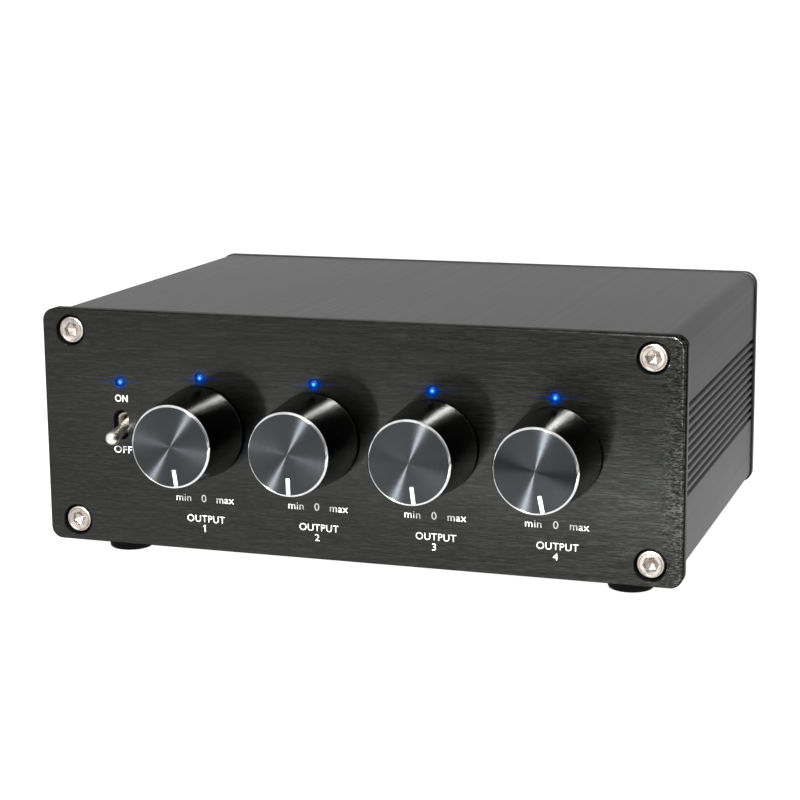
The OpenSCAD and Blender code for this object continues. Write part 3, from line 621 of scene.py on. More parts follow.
def grid_tree():
    """A node tree that sets copies of a piece on a grid, each turned by chance about Y."""
    tree = bpy.data.node_groups.get("Pieces on a grid")
    if tree:
        return tree
    tree = bpy.data.node_groups.new("Pieces on a grid", "GeometryNodeTree")
    tree.is_modifier = True
    sockets = (
        ("Piece", "NodeSocketObject"), ("Columns", "NodeSocketInt"), ("Rows", "NodeSocketInt"),
        ("Width", "NodeSocketFloat"), ("Height", "NodeSocketFloat"),
        ("Grid Turn", "NodeSocketRotation"), ("Middle", "NodeSocketVector"),
        ("Most Turn", "NodeSocketFloat"), ("Seed", "NodeSocketInt"),
        ("Finish", "NodeSocketMaterial"),
    )
    tree.interface.new_socket("Geometry", in_out="INPUT", socket_type="NodeSocketGeometry")
    for name, kind in sockets:
        tree.interface.new_socket(name, in_out="INPUT", socket_type=kind)
    tree.interface.new_socket("Geometry", in_out="OUTPUT", socket_type="NodeSocketGeometry")
    made = {}
    kinds = (
        ("given", "NodeGroupInput"), ("grid", "GeometryNodeMeshGrid"),
        ("set", "GeometryNodeTransform"),
        ("piece", "GeometryNodeObjectInfo"), ("chance", "FunctionNodeRandomValue"),
        ("axis", "ShaderNodeCombineXYZ"), ("turn", "FunctionNodeEulerToRotation"),
        ("copies", "GeometryNodeInstanceOnPoints"), ("real", "GeometryNodeRealizeInstances"),
        ("finish", "GeometryNodeSetMaterial"), ("result", "NodeGroupOutput"),
    )
    for column, (name, kind) in enumerate(kinds):
        made[name] = tree.nodes.new(kind)
        made[name].location = (200 * column, 0)
    made["chance"].data_type = "FLOAT"
    joins = (
        ("given", "Columns", "grid", "Vertices X"), ("given", "Rows", "grid", "Vertices Y"),
        ("given", "Width", "grid", "Size X"), ("given", "Height", "grid", "Size Y"),
        ("grid", "Mesh", "set", "Geometry"), ("given", "Grid Turn", "set", "Rotation"),
        ("given", "Middle", "set", "Translation"), ("given", "Piece", "piece", "Object"),
        ("given", "Seed", "chance", "Seed"), ("axis", "Vector", "turn", "Euler"),
        ("set", "Geometry", "copies", "Points"), ("piece", "Geometry", "copies", "Instance"),
        ("turn", "Rotation", "copies", "Rotation"), ("copies", "Instances", "real", "Geometry"),
        ("real", "Geometry", "finish", "Geometry"), ("given", "Finish", "finish", "Material"),
        ("finish", "Geometry", "result", "Geometry"),
    )
    for start, output, stop, entry in joins:
        tree.links.new(made[start].outputs[output], made[stop].inputs[entry])
    chance_most = [s for s in made["chance"].inputs if s.name == "Max" and s.type == "VALUE"][0]
    chance_least = [s for s in made["chance"].inputs if s.name == "Min" and s.type == "VALUE"][0]
    chance_value = [s for s in made["chance"].outputs if s.type == "VALUE"][0]
    chance_least.default_value = 0
    tree.links.new(made["given"].outputs["Most Turn"], chance_most)
    tree.links.new(chance_value, made["axis"].inputs["Y"])
    made["piece"].inputs["As Instance"].default_value = True
    return tree


def on_grid(mesh, material, columns, rows, width, height, middle, upright=True,
            most_turn=0.0, seed=0):
    """A plain mesh of copies of a piece on a grid, upright along the panels or lying flat."""
    tree = grid_tree()
    master = bpy.data.objects.new("master", mesh)
    holder = bpy.data.objects.new("holder", bpy.data.meshes.new("holder"))
    for thing in (master, holder):
        bpy.context.scene.collection.objects.link(thing)
    modifier = holder.modifiers.new("grid", "NODES")
    modifier.node_group = tree
    given = {
        "Piece": master, "Columns": columns, "Rows": rows, "Width": width, "Height": height,
        "Grid Turn": (math.pi / 2 if upright else 0, 0, 0), "Middle": tuple(middle),
        "Most Turn": most_turn, "Seed": seed, "Finish": material,
    }
    for item in tree.interface.items_tree:
        if item.in_out == "INPUT" and item.name in given:
            modifier[item.identifier] = given[item.name]
    bpy.context.view_layer.update()
    graph = bpy.context.evaluated_depsgraph_get()
    result = bpy.data.meshes.new_from_object(holder.evaluated_get(graph))
    holder.modifiers.remove(modifier)
    for thing in (master, holder):
        data = thing.data
        bpy.data.objects.remove(thing)
        bpy.data.meshes.remove(data)
    if not result.vertices:
        raise RuntimeError("the grid made no copies")
    return result


# Finishes


class Finish:
    """Builds the nodes of one material."""

    def __init__(self, name):
        self.material = bpy.data.materials.new(name)
        self.material.use_nodes = True
        self.tree = self.material.node_tree
        self.shader = self.tree.nodes["Principled BSDF"]

    def node(self, kind, **settings):
        made = self.tree.nodes.new(kind)
        for key, value in settings.items():
            setattr(made, key, value)
        return made

    def join(self, output, entry):
        self.tree.links.new(output, entry)

    def set(self, **values):
        """Sets constants on the shader's own sockets."""
        for key, value in values.items():
            socket = self.shader.inputs[key.replace("_", " ")]
            socket.default_value = (*value, 1) if socket.type == "RGBA" else value

    def place(self, scale=(1, 1, 1), source="Object"):
        """Coordinates of the piece, or its own grain map, stretched by a scale per metre."""
        mapping = self.node("ShaderNodeMapping")
        mapping.inputs["Scale"].default_value = scale
        if source == GRAIN:
            output = self.node("ShaderNodeUVMap", uv_map=GRAIN).outputs["UV"]
        else:
            output = self.node("ShaderNodeTexCoord").outputs[source]
        self.join(output, mapping.inputs["Vector"])
        return mapping.outputs["Vector"]

    def noise(self, place, detail=2.0, rough=0.5):
        made = self.node("ShaderNodeTexNoise")
        for key, value in (("Scale", 1.0), ("Detail", detail), ("Roughness", rough)):
            made.inputs[key].default_value = value
        self.join(place, made.inputs["Vector"])
        return made.outputs["Fac"]

    def spread(self, value, low, high, start=0.3, stop=0.7):
        """A value moved from one range to another."""
        made = self.node("ShaderNodeMapRange")
        limits = (("From Min", start), ("From Max", stop), ("To Min", low), ("To Max", high))
        for key, limit in limits:
            made.inputs[key].default_value = limit
        self.join(value, made.inputs["Value"])
        return made.outputs["Result"]

    def blend(self, value, *stops):
        """A colour that follows a value through stops of position and colour."""
        made = self.node("ShaderNodeValToRGB")
        elements = made.color_ramp.elements
        while len(elements) < len(stops):
            elements.new(0.5)
        for element, (position, tint) in zip(elements, stops):
            element.position = position
            element.color = (*tint, 1)
        self.join(value, made.inputs["Fac"])
        return made.outputs["Color"]

    def shade(self, value, tint, low, high, start=0.35, stop=0.65):
        """A colour that follows a value from a darker to a lighter tone of a tint."""
        dark, light = tones(tint, low, high)
        return self.blend(value, (start, dark), (stop, light))

    def math(self, operation, first, second):
        made = self.node("ShaderNodeMath", operation=operation)
        for value, socket in zip((first, second), made.inputs):
            if isinstance(value, (int, float)):
                socket.default_value = value
            else:
                self.join(value, socket)
        return made.outputs["Value"]

    def mix(self, first, second, share):
        """A sum of two values, of which the first has the given share."""
        rest = self.math("MULTIPLY", second, 1 - share)
        return self.math("ADD", self.math("MULTIPLY", first, share), rest)

    def swing(self, value, amount, base):
        """How far a value lies from its middle, times an amount, on top of a base."""
        off = self.math("SUBTRACT", value, 0.5)
        return self.math("ADD", self.math("MULTIPLY", off, amount), base)

    def bump(self, height, strength, depth, under=None):
        made = self.node("ShaderNodeBump")
        made.inputs["Strength"].default_value = strength
        made.inputs["Distance"].default_value = depth
        self.join(height, made.inputs["Height"])
        if under is not None:
            self.join(under, made.inputs["Normal"])
        return made.outputs["Normal"]

    def grain(self, amount):
        """Stretches gloss along the grain map, as fine scratches across it do."""
        self.shader.inputs["Anisotropic"].default_value = amount
        tangent = self.node("ShaderNodeTangent", direction_type="UV_MAP", uv_map=GRAIN)
        self.join(tangent.outputs["Tangent"], self.shader.inputs["Tangent"])

    def wire(self, tint, rough, normal=None):
        """The material, with its colour, roughness and relief joined to the shader."""
        for output, key in ((tint, "Base Color"), (rough, "Roughness"), (normal, "Normal")):
            if output is not None:
                self.join(output, self.shader.inputs[key])
        return self.material


def tones(tint, low, high):
    """A darker and a lighter tone of a colour."""
    return [min(1, c * low) for c in tint], [min(1, c * high) for c in tint]


def brushed_black(name, tint):
    """Black anodised aluminium with strokes along x, whose colour carries a painted sheen and
    painted glints toward the right end.
    """
    make = Finish(name)
    fine = make.noise(make.place(STROKES), detail=3, rough=0.65)
    dashes = make.noise(make.place(DASHES), detail=3, rough=0.6)
    glint_specks = make.noise(make.place(GLINT_FLECKS), detail=2, rough=0.6)
    cloud = make.noise(make.place(PANEL_CLOUD), detail=2)
    strokes = make.mix(fine, dashes, 0.6)
    # The strokes' contrast grows toward the right and bright specks join it at the right end:
    # painted sheen and painted glints of the key light, on top of the real brushed grain
    along = make.node("ShaderNodeSeparateXYZ")
    make.join(make.place(), along.inputs["Vector"])
    deep = make.spread(along.outputs["X"], 0.75, 1.25, *SHEEN_RISE)
    end = make.spread(along.outputs["X"], 0.0, 1.9, *GLINT_SPAN)
    cut = make.swing(glint_specks, end, make.swing(strokes, deep, 0.5))
    # The lightest tone carries the painted glints; the darker tones follow the brushed grain
    dark, light = tones(tint, 0.3, 2.6)
    make.set(Metallic=1.0, Specular_Tint=(0.3, 0.3, 0.3))
    make.grain(1.0)
    rough = make.math("ADD", make.spread(strokes, 0.15, 0.18), make.spread(cloud, 0.0, 0.02))
    return make.wire(make.blend(cut, (0.2, dark), (0.5, tint), (0.84, light)), rough,
                     make.bump(strokes, 0.25, BRUSHING))


def satin_black(name, tint):
    """Black anodised aluminium, blasted, with faint drawn lines along y."""
    make = Finish(name)
    blast = make.noise(make.place(BLAST), detail=3, rough=0.7)
    drawn = make.noise(make.place(DRAWN), detail=3, rough=0.6)
    cloud = make.noise(make.place(CASE_CLOUD), detail=3)
    mixed = make.mix(drawn, cloud, 0.6)
    make.set(Metallic=1.0)
    make.grain(0.2)
    normal = make.bump(blast, 0.12, BRUSHING, make.bump(drawn, 0.1, BRUSHING))
    return make.wire(make.shade(mixed, tint, 0.85, 1.16), make.spread(mixed, 0.4, 0.47), normal)


def spun_black(name, tint):
    """Black anodised aluminium with fine rings around the middle of a turned face."""
    make = Finish(name)
    rings = make.noise(make.place(RINGS, GRAIN), detail=3, rough=0.7)
    bands = make.noise(make.place(BANDS, GRAIN), detail=2)
    mixed = make.mix(rings, bands, 0.8)
    make.set(Metallic=1.0)
    make.grain(1.0)
    return make.wire(make.shade(mixed, tint, 0.88, 1.14), make.spread(mixed, 0.24, 0.27))


def turned_black(name, tint):
    """Black anodised aluminium with fine turning marks around a knob's side."""
    make = Finish(name)
    marks = make.noise(make.place(TURNING, GRAIN), detail=2, rough=0.6)
    cloud = make.noise(make.place(SIDE_CLOUD), detail=2)
    make.set(Metallic=1.0)
    make.grain(0.5)
    return make.wire(make.shade(marks, tint, 0.8, 1.25), make.spread(cloud, 0.19, 0.23),
                     make.bump(marks, 0.08, SCRATCH))


def cut_metal(name, tint, rough, grain):
    """Bright turned metal with fine rings and a little tarnish."""
    make = Finish(name)
    marks = make.noise(make.place(CUT_MARKS, GRAIN), detail=2)
    tarnish = make.noise(make.place(CUT_TARNISH), detail=3)
    make.set(Metallic=1.0)
    make.grain(grain)
    return make.wire(make.shade(tarnish, tint, 0.82, 1.08, stop=0.62),
                     make.spread(marks, rough * 0.85, rough * 1.2),
                     make.bump(marks, 0.08, SCRATCH))


def cast_metal(name, tint, rough):
    """Bright plated metal on a piece without a grain of its own."""
    make = Finish(name)
    tarnish = make.noise(make.place(CAST_TARNISH), detail=3)
    fine = make.noise(make.place(CAST_GRAIN), detail=2)
    make.set(Metallic=1.0)
    return make.wire(make.shade(tarnish, tint, 0.84, 1.08),
                     make.spread(tarnish, rough * 0.8, rough * 1.3),
                     make.bump(fine, 0.05, SCRATCH))


def moulded(name, tint, rough, grain=3000, strength=0.15, gloss=0.5):
    """Moulded plastic, rubber, ink or lacquer with a fine grain."""
    make = Finish(name)
    fine = make.noise(make.place((grain, grain, grain)), detail=3)
    cloud = make.noise(make.place(MOULD_CLOUD), detail=2)
    make.set(Specular_IOR_Level=gloss)
    return make.wire(make.shade(cloud, tint, 0.86, 1.1),
                     make.spread(cloud, rough * 0.9, rough * 1.12),
                     make.bump(fine, strength, MOULD_RELIEF))


def circuit_lacquer(name, tint):
    """Green lacquer over faint copper tracks."""
    make = Finish(name)
    tracks = make.node("ShaderNodeTexBrick")
    tracks.inputs["Scale"].default_value = TRACKS
    tracks.inputs["Mortar Size"].default_value = TRACK_WIDTH
    dark, light = tones(tint, 0.8, 1.5)
    for key, tone in (("Color1", tint), ("Color2", dark), ("Mortar", light)):
        tracks.inputs[key].default_value = (*tone, 1)
    make.join(make.place(), tracks.inputs["Vector"])
    cloud = make.noise(make.place(BOARD_CLOUD), detail=2)
    return make.wire(tracks.outputs["Color"], make.spread(cloud, 0.25, 0.35),
                     make.bump(tracks.outputs["Fac"], 0.2, TRACK_RELIEF))


def lit_lens(name, glow):
    """A lens that is brightest in its middle."""
    look = bpy.context.scene.splitter_finish
    core, edge = list(look.lamp_core), list(look.lamp_edge)
    make = Finish(name)
    across = make.node("ShaderNodeSeparateXYZ")
    make.join(make.place(source=GRAIN), across.inputs["Vector"])
    reach = make.spread(across.outputs["X"], 0, 1, 0, LENS_GLOW)
    light = make.blend(reach, (0.0, core), (0.28, core), (0.6, glow), (1.0, edge))
    power = make.spread(reach, LENS_POWER, LENS_EDGE_POWER, 0.3, 0.6)
    make.join(light, make.shader.inputs["Emission Color"])
    make.join(power, make.shader.inputs["Emission Strength"])
    make.set(Base_Color=list(look.lens), Roughness=0.4, Specular_IOR_Level=0.1)
    return make.material


# What makes each finish, the setting that holds its colour, and what else its maker is given
MAKERS = {
    "brushed_black": (brushed_black, "panel"),
    "satin_black": (satin_black, "case"),
    "spun_black": (spun_black, "face"),
    "turned_black": (turned_black, "side"),
    "cut_rim": (cut_metal, "rim", 0.14, 0.5),
    "stainless_steel": (cast_metal, "steel", 0.33),
    "switch_plating": (cut_metal, "chrome", 0.3, 0.3),
    "gold_plating": (cut_metal, "gold", 0.2, 0.3),
    "tin_plating": (cast_metal, "tin", 0.35),
    "black_steel": (cast_metal, "black_steel", 0.4),
    "soft_rubber": (moulded, "rubber", 0.75, 2200, 0.25, 0.1),
    # Black sheets that paint the shade in the counterbores and the slot
    "black_lining": (moulded, "lining", 0.75, 3000, 0.15, 0.05),
    "white_ink": (moulded, "ink", 0.5, 4000, 0.1),
    "white_plastic": (moulded, "white_plastic", 0.35),
    "red_plastic": (moulded, "red_plastic", 0.35),
    "moulded_black": (moulded, "black_plastic", 0.42),
    "sleeve_film": (moulded, "sleeve", 0.3),
    "blue_lacquer": (moulded, "lacquer", 0.25),
    "circuit_lacquer": (circuit_lacquer, "board"),
    "lit_lens": (lit_lens, "lamp"),
}


def finish(name):
    """The material of that name, made when it is first asked for."""
    found = bpy.data.materials.get(name)
    if found:
        return found
    maker, setting, *more = MAKERS[name]
    return maker(name, list(getattr(bpy.context.scene.splitter_finish, setting)), *more)


# Pieces


def arc(start, stop):
    return [start + (stop - start) * k / ARC_STEPS for k in range(ARC_STEPS + 1)]


def place_of(node):
    """Middle of a CAD node in x and z."""
    middle = span(node)[0]
    return middle.x, middle.z


def screw_places():
    """Middles of the four panel screws in x and z."""
    head = bpy.context.scene.splitter_fasteners.head
    middle, half = span("front_screws")
    return [(middle.x + a * (half.x - head / 2), middle.z + b * (half.z - head / 2))
            for a in (-1, 1) for b in (-1, 1)]


def jack_places(rows):
    """Middles of the jacks in x and z. Row -1 is the lower one, 1 the upper, 0 between them."""
    sizes = bpy.context.scene.splitter_jacks
    middle, half = span("jack_sleeves")
    reach = half.x - sizes.sleeve / 2
    rise = half.z - sizes.sleeve / 2
    step = 2 * reach / (sizes.columns - 1)
    return [(middle.x - reach + step * column, middle.z + rise * row)
            for column in range(sizes.columns) for row in rows]


def rounded_plate(middle, half, corner, edge):
    """Rings of a plate whose front and back edges are rounded, with a flat margin inside them."""
    steps = [(edge + MARGIN, 0.0), *edge_steps(edge)]
    rings = [(inset, middle.y - half.y + deep) for inset, deep in steps]
    rings += [(inset, middle.y + half.y - deep) for inset, deep in reversed(steps)]
    loops = [(rectangle(2 * (half.x - inset), 2 * (half.z - inset), corner - inset), y)
             for inset, y in rings]
    return [(shifted(loop, middle.x, middle.z), y) for loop, y in loops]


def round_hole(place, radius, bevel, low_y, high_y):
    """Rings of a straight hole with a bevel at both ends, and a flat margin around it."""
    wide = radius + bevel
    front = [(wide + MARGIN, low_y), (wide, low_y), (radius, low_y + bevel)]
    back = [(radius, high_y - bevel), (wide, high_y), (wide + MARGIN, high_y)]
    return [(shifted(circle(r), *place), y) for r, y in [*front, *back]]


class SPLITTER_OT_front_panel(bpy.types.Operator):
    """Makes the brushed front panel with its recesses, holes and slot"""

    bl_idname = "splitter.front_panel"
    bl_label = "Front panel"

    def execute(self, context):
        sizes = context.scene.splitter_case
        middle, half = span("front_panel")
        ends = (middle.y - half.y, middle.y + half.y)
        outer = rounded_plate(middle, half, sizes.panel_corner, sizes.panel_edge)
        drilled = []
        for i in KNOBS:
            drilled += [(f"knob_{i}_shell", sizes.shaft_hole), (f"lamp_{i}", sizes.lamp_hole)]
        drilled.append(("lamp_power", sizes.lamp_hole))
        holes = [self.recess(sizes, place, *ends) for place in screw_places()]
        holes += [round_hole(place_of(node), size / 2, sizes.hole_edge, *ends)
                  for node, size in drilled]
        holes.append(self.slot(sizes, *ends))
        mesh = mesh_of("front_panel", plate(outer, holes))
        add_piece("brushed_front", mesh, finish("brushed_black"),
                  nodes=["front_panel"])
        return {"FINISHED"}

    def recess(self, sizes, place, low_y, high_y):
        """Rings of a counterbore and the hole for its screw."""
        wide, narrow, bevel = sizes.recess / 2, sizes.screw_hole / 2, sizes.hole_edge
        floor_y = low_y + sizes.recess_depth
        stack = [(wide + bevel + MARGIN, low_y), (wide + bevel, low_y), (wide, low_y + bevel),
                 (wide, floor_y), (narrow, floor_y), (narrow, high_y)]
        return [(shifted(circle(radius), *place), y) for radius, y in stack]

    def slot(self, sizes, low_y, high_y):
        """The slot narrows from its bevel and opens behind into the seat of the bushing."""
        width, height, bevel = sizes.slot_width, sizes.slot_height, sizes.slot_edge
        seat_y = high_y - sizes.bushing_seat
        count = 4 * (SLOT_STEPS + 1)
        grown = [(bevel + MARGIN, low_y), (bevel, low_y), (0, low_y + bevel), (0, seat_y)]
        front = [(capsule(width + 2 * more, height + 2 * more), y) for more, y in grown]
        seat = circle(sizes.bushing_hole / 2, count)
        start = min(range(count), key=lambda k: math.dist(seat[k], front[0][0][0]))
        seat = seat[start:] + seat[:start]
        stack = [*front, (seat, seat_y), (seat, high_y)]
        return [(shifted(loop, *place_of("switch_bushing")), y) for loop, y in stack]


class SPLITTER_OT_case(bpy.types.Operator):
    """Makes the satin case with its side grooves, and the rear panel"""

    bl_idname = "splitter.case"
    bl_label = "Case"

    def execute(self, context):
        sizes = context.scene.splitter_case
        middle, half = span("case_shell")
        wall = sizes.case_wall
        inside = rectangle(2 * (half.x - wall), 2 * (half.z - wall), sizes.case_corner - wall)
        ends = (middle.y - half.y, middle.y + half.y)
        outer, inner = [[(shifted(loop, middle.x, middle.z), y) for y in ends]
                        for loop in (self.grooved(sizes, half.x, half.z), inside)]
        mesh = mesh_of("case", plate(outer, [inner]))
        add_piece("satin_case", mesh, finish("satin_black"), nodes=["case_shell"])
        self.rear(sizes)
        return {"FINISHED"}

    def grooved(self, sizes, x, z):
        """Outline of the case from its lower right corner around, with grooves in both sides."""
        side = []
        lean, floor = sizes.groove_slope, x - sizes.groove_depth
        first = -(sizes.groove_count - 1) / 2 * sizes.groove_pitch
        for k in range(sizes.groove_count):
            low = first + k * sizes.groove_pitch - sizes.groove_width / 2
            high = low + sizes.groove_width
            side += [(x, low - lean), (floor, low + lean), (floor, high - lean), (x, high + lean)]
        right = [(x, -z), *side, (x, z)]
        left = [(-a, -b) for a, b in right]
        radii = [sizes.case_corner, *[0] * len(side), sizes.case_corner]
        return fillet([*right, *left], radii * 2, steps=10)

    def rear(self, sizes):
        middle, half = span("rear_panel")
        ends = (middle.y - half.y, middle.y + half.y)
        outer = rounded_plate(middle, half, sizes.case_corner, sizes.rear_edge)
        places = [(place, sizes.screw_hole) for place in screw_places()]
        places += [(place, sizes.jack_hole) for place in jack_places((-1, 1))]
        places += [(place, sizes.jack_screw_hole) for place in jack_places((0,))]
        places.append((place_of("inlet_pin"), sizes.jack_hole))
        holes = [round_hole(place, size / 2, sizes.hole_edge, *ends) for place, size in places]
        mesh = mesh_of("rear_panel", plate(outer, holes))
        add_piece("satin_rear", mesh, finish("satin_black"), nodes=["rear_panel"])


class SPLITTER_OT_fasteners(bpy.types.Operator):
    """Makes the socket screws in both panels and the rubber feet"""

    bl_idname = "splitter.fasteners"
    bl_label = "Screws and feet"

    def execute(self, context):
        sizes = context.scene.splitter_fasteners
        steel = finish("stainless_steel")
        sets = (("front_screws", "front_screw_set", -1), ("rear_screws", "rear_screw_set", 1))
        for node, name, out in sets:
            middle, half = span(node)
            flip = Matrix.Rotation(math.pi, 4, "Z") if out > 0 else None
            mesh = on_grid(self.screw(sizes, flip), steel, 2, 2, *self.spread(sizes, half),
                           (middle.x, middle.y + out * half.y, middle.z),
                           most_turn=math.pi / 3, seed=sizes.turn_seed)
            add_piece(name, mesh, steel, nodes=[node])
        self.linings(context.scene.splitter_case, sizes)
        self.feet(sizes)
        return {"FINISHED"}

    def spread(self, sizes, half):
        """Distances between the screws in x and z."""
        return 2 * half.x - sizes.head, 2 * half.z - sizes.head

    def screw(self, sizes, flip):
        """A socket screw along +y with the top of its head at y = 0."""
        head, shank, under = sizes.head / 2, sizes.shank / 2, sizes.head_height
        mouth = sizes.socket / math.sqrt(3) + sizes.socket_bevel
        end = under + sizes.shank_length
        ring, wide = sizes.head_ring / 2, sizes.ring_width
        crown = fillet(
            [(mouth * SOCKET_LAND, 0), (ring - wide, 0), (ring, sizes.ring_depth),
             (ring + wide, 0), (head, 0), (head, under), (shank, under)],
            [0, 0, 0, 0, sizes.head_round, HEAD_UNDER_ROUND, 0], steps=5, closed=False)
        count = SCREW_CORNERS
        verts, faces, grains, flat = spin([*crown, (shank, end), (0, end)], count)
        rings = [list(range(count))]
        for points in self.socket(sizes, count):
            rings.append(list(range(len(verts), len(verts) + count)))
            verts += points
        for low, high in zip(rings, rings[1:]):
            for k in range(count):
                n = (k + 1) % count
                faces.append((low[k], low[n], high[n], high[k]))
                grains.append(((0, 0), (0, 1), (1, 1), (1, 0)))
        floor, tip = rings[-1], len(verts)
        verts.append((0, sizes.socket_depth + SOCKET_TIP * sizes.socket, 0))
        for k in range(count):
            faces.append((floor[k], floor[(k + 1) % count], tip))
            grains.append(((0, 0), (0, 1), (1, 0.5)))
        return mesh_of("panel_screw", (verts, faces, grains, flat), flip, SCREW_CREASE)

    def socket(self, sizes, count):
        """Rings of the hexagonal socket: its bevelled mouth, its edge and its floor."""
        rings = []
        bevel = sizes.socket_bevel
        for grow, y in ((bevel, 0), (0, bevel), (0, sizes.socket_depth)):
            points = []
            for x, z in circle(1, count):
                turn = math.atan2(z, x) % (math.pi / 3) - math.pi / 6
                reach = (sizes.socket / 2 + grow) / math.cos(turn)
                points.append((x * reach, y, z * reach))
            rings.append(points)
        return rings

    def linings(self, panel, sizes):
        """Black sheets in the counterbores of the front panel, around the screw heads, which paint
        the shade in them.
        """
        middle, half = span("front_screws")
        wall = panel.recess / 2 - SNUG
        inner, gap = wall - sizes.lining, sizes.head / 2 + SNUG
        top, floor = panel.hole_edge, panel.recess_depth - SNUG
        profile = [(wall, top), (wall, floor), (gap, floor), (gap, floor - sizes.lining),
                   (inner, floor - sizes.lining), (inner, top)]
        cup = mesh_of("counterbore", spin(profile, SCREW_CORNERS, closed=True))
        mesh = on_grid(cup, finish("black_lining"), 2, 2, *self.spread(sizes, half),
                       (middle.x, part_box("front_panel")[0].y, middle.z))
        add_piece("counterbore_linings", mesh, finish("black_lining"))

    def feet(self, sizes):
        front, half = span("foot_front_left")
        back = span("foot_rear_right")[0]
        radius, height = half.x, 2 * half.z
        ring = radius - sizes.foot_round - sizes.foot_ring
        profile = fillet(
            [(0, FOOT_DIP), (ring, FOOT_DIP), (ring + FOOT_DIP, SOLE_LIFT), (radius, SOLE_LIFT),
             (radius, height), (0, height)],
            [0, 0, 0, sizes.foot_round, FOOT_TOP_ROUND, 0], steps=6, closed=False)
        foot = mesh_of("foot", spin(profile, FOOT_CORNERS), Matrix.Rotation(math.pi / 2, 4, "X"))
        middle = ((front.x + back.x) / 2, (front.y + back.y) / 2, front.z - half.z)
        mesh = on_grid(foot, finish("soft_rubber"), 2, 2, back.x - front.x, back.y - front.y,
                       middle, upright=False)
        nodes = [f"foot_{end}_{side}" for end in ("front", "rear") for side in ("left", "right")]
        add_piece("rubber_feet", mesh, finish("soft_rubber"), nodes=nodes)


class SPLITTER_OT_knobs(bpy.types.Operator):
    """Makes the four knobs, each with a turned side, a spun face, a cut rim and a pointer"""

    bl_idname = "splitter.knobs"
    bl_label = "Knobs"

    def execute(self, context):
        sizes = context.scene.splitter_knobs
        for i in KNOBS:
            self.knob(sizes, i)
        return {"FINISHED"}

    def knob(self, sizes, i):
        body = f"knob_{i}"
        middle, half = span(f"knob_{i}_shell")
        place = Matrix.Translation((middle.x, middle.y - half.y, middle.z))
        depth, base = 2 * half.y, half.x
        rim, face = sizes.rim_diameter / 2, sizes.rim_diameter / 2 - sizes.rim
        floor = sizes.face_set + sizes.face_thickness
        hollow, core = sizes.hollow / 2, sizes.core / 2
        hollow_y, core_y = depth - sizes.hollow_depth, sizes.core_floor
        side = fillet(
            [(0, floor), (face, floor), (face, sizes.rim), (rim, sizes.rim), (base, depth),
             (hollow, depth), (hollow, hollow_y), (core, hollow_y), (core, core_y), (0, core_y)],
            [0, 0, 0, 0, sizes.base_round, HOLLOW_ROUND, 0, 0, 0, 0], steps=4, closed=False)
        mesh = mesh_of("side", spin(side, KNOB_SIDE_CORNERS), place, KNOB_CREASE)
        shell = add_piece(f"knob_{i}_side", mesh, finish("turned_black"), body,
                          [f"knob_{i}_shell"])
        shade = bpy.data.collections[KEY_SHADE]
        shade.objects.link(shell)
        shade.collection_objects[-1].light_linking.link_state = "EXCLUDE"
        ring = fillet([(face, 0), (rim, sizes.rim), (face, floor)], [*RIM_ROUNDS, 0], steps=3)
        mesh = mesh_of("rim", spin(ring, KNOB_FACE_CORNERS, closed=True), place, KNOB_CREASE)
        add_piece(f"knob_{i}_rim", mesh, finish("cut_rim"), body)
        disc = [(0, sizes.face_set), (face, sizes.face_set), (face, floor), (0, floor)]
        mesh = mesh_of("face", spin(disc, KNOB_FACE_CORNERS), place, KNOB_CREASE)
        add_piece(f"knob_{i}_face", mesh, finish("spun_black"), body)
        self.pointer(sizes, i, middle, place, face)

    def pointer(self, sizes, i, middle, place, face):
        """A painted bar that follows the CAD pointer's turn."""
        mark = span(f"knob_{i}_pointer")[0] - middle
        turn = math.atan2(mark.x, -mark.z)
        half = sizes.pointer_length / 2
        outline = rectangle(sizes.pointer_width, sizes.pointer_length, POINTER_ROUND, 4)
        outline = shifted(outline, 0, -(face - sizes.pointer_gap - half))
        deep = sizes.pointer_set + sizes.pointer_depth
        bar = plate([(outline, sizes.pointer_set), (outline, deep)], [])
        mesh = mesh_of("pointer", bar, place @ Matrix.Rotation(-turn, 4, "Y"))
        add_piece(f"knob_{i}_mark", mesh, finish("white_ink"), f"knob_{i}",
                  [f"knob_{i}_pointer"])


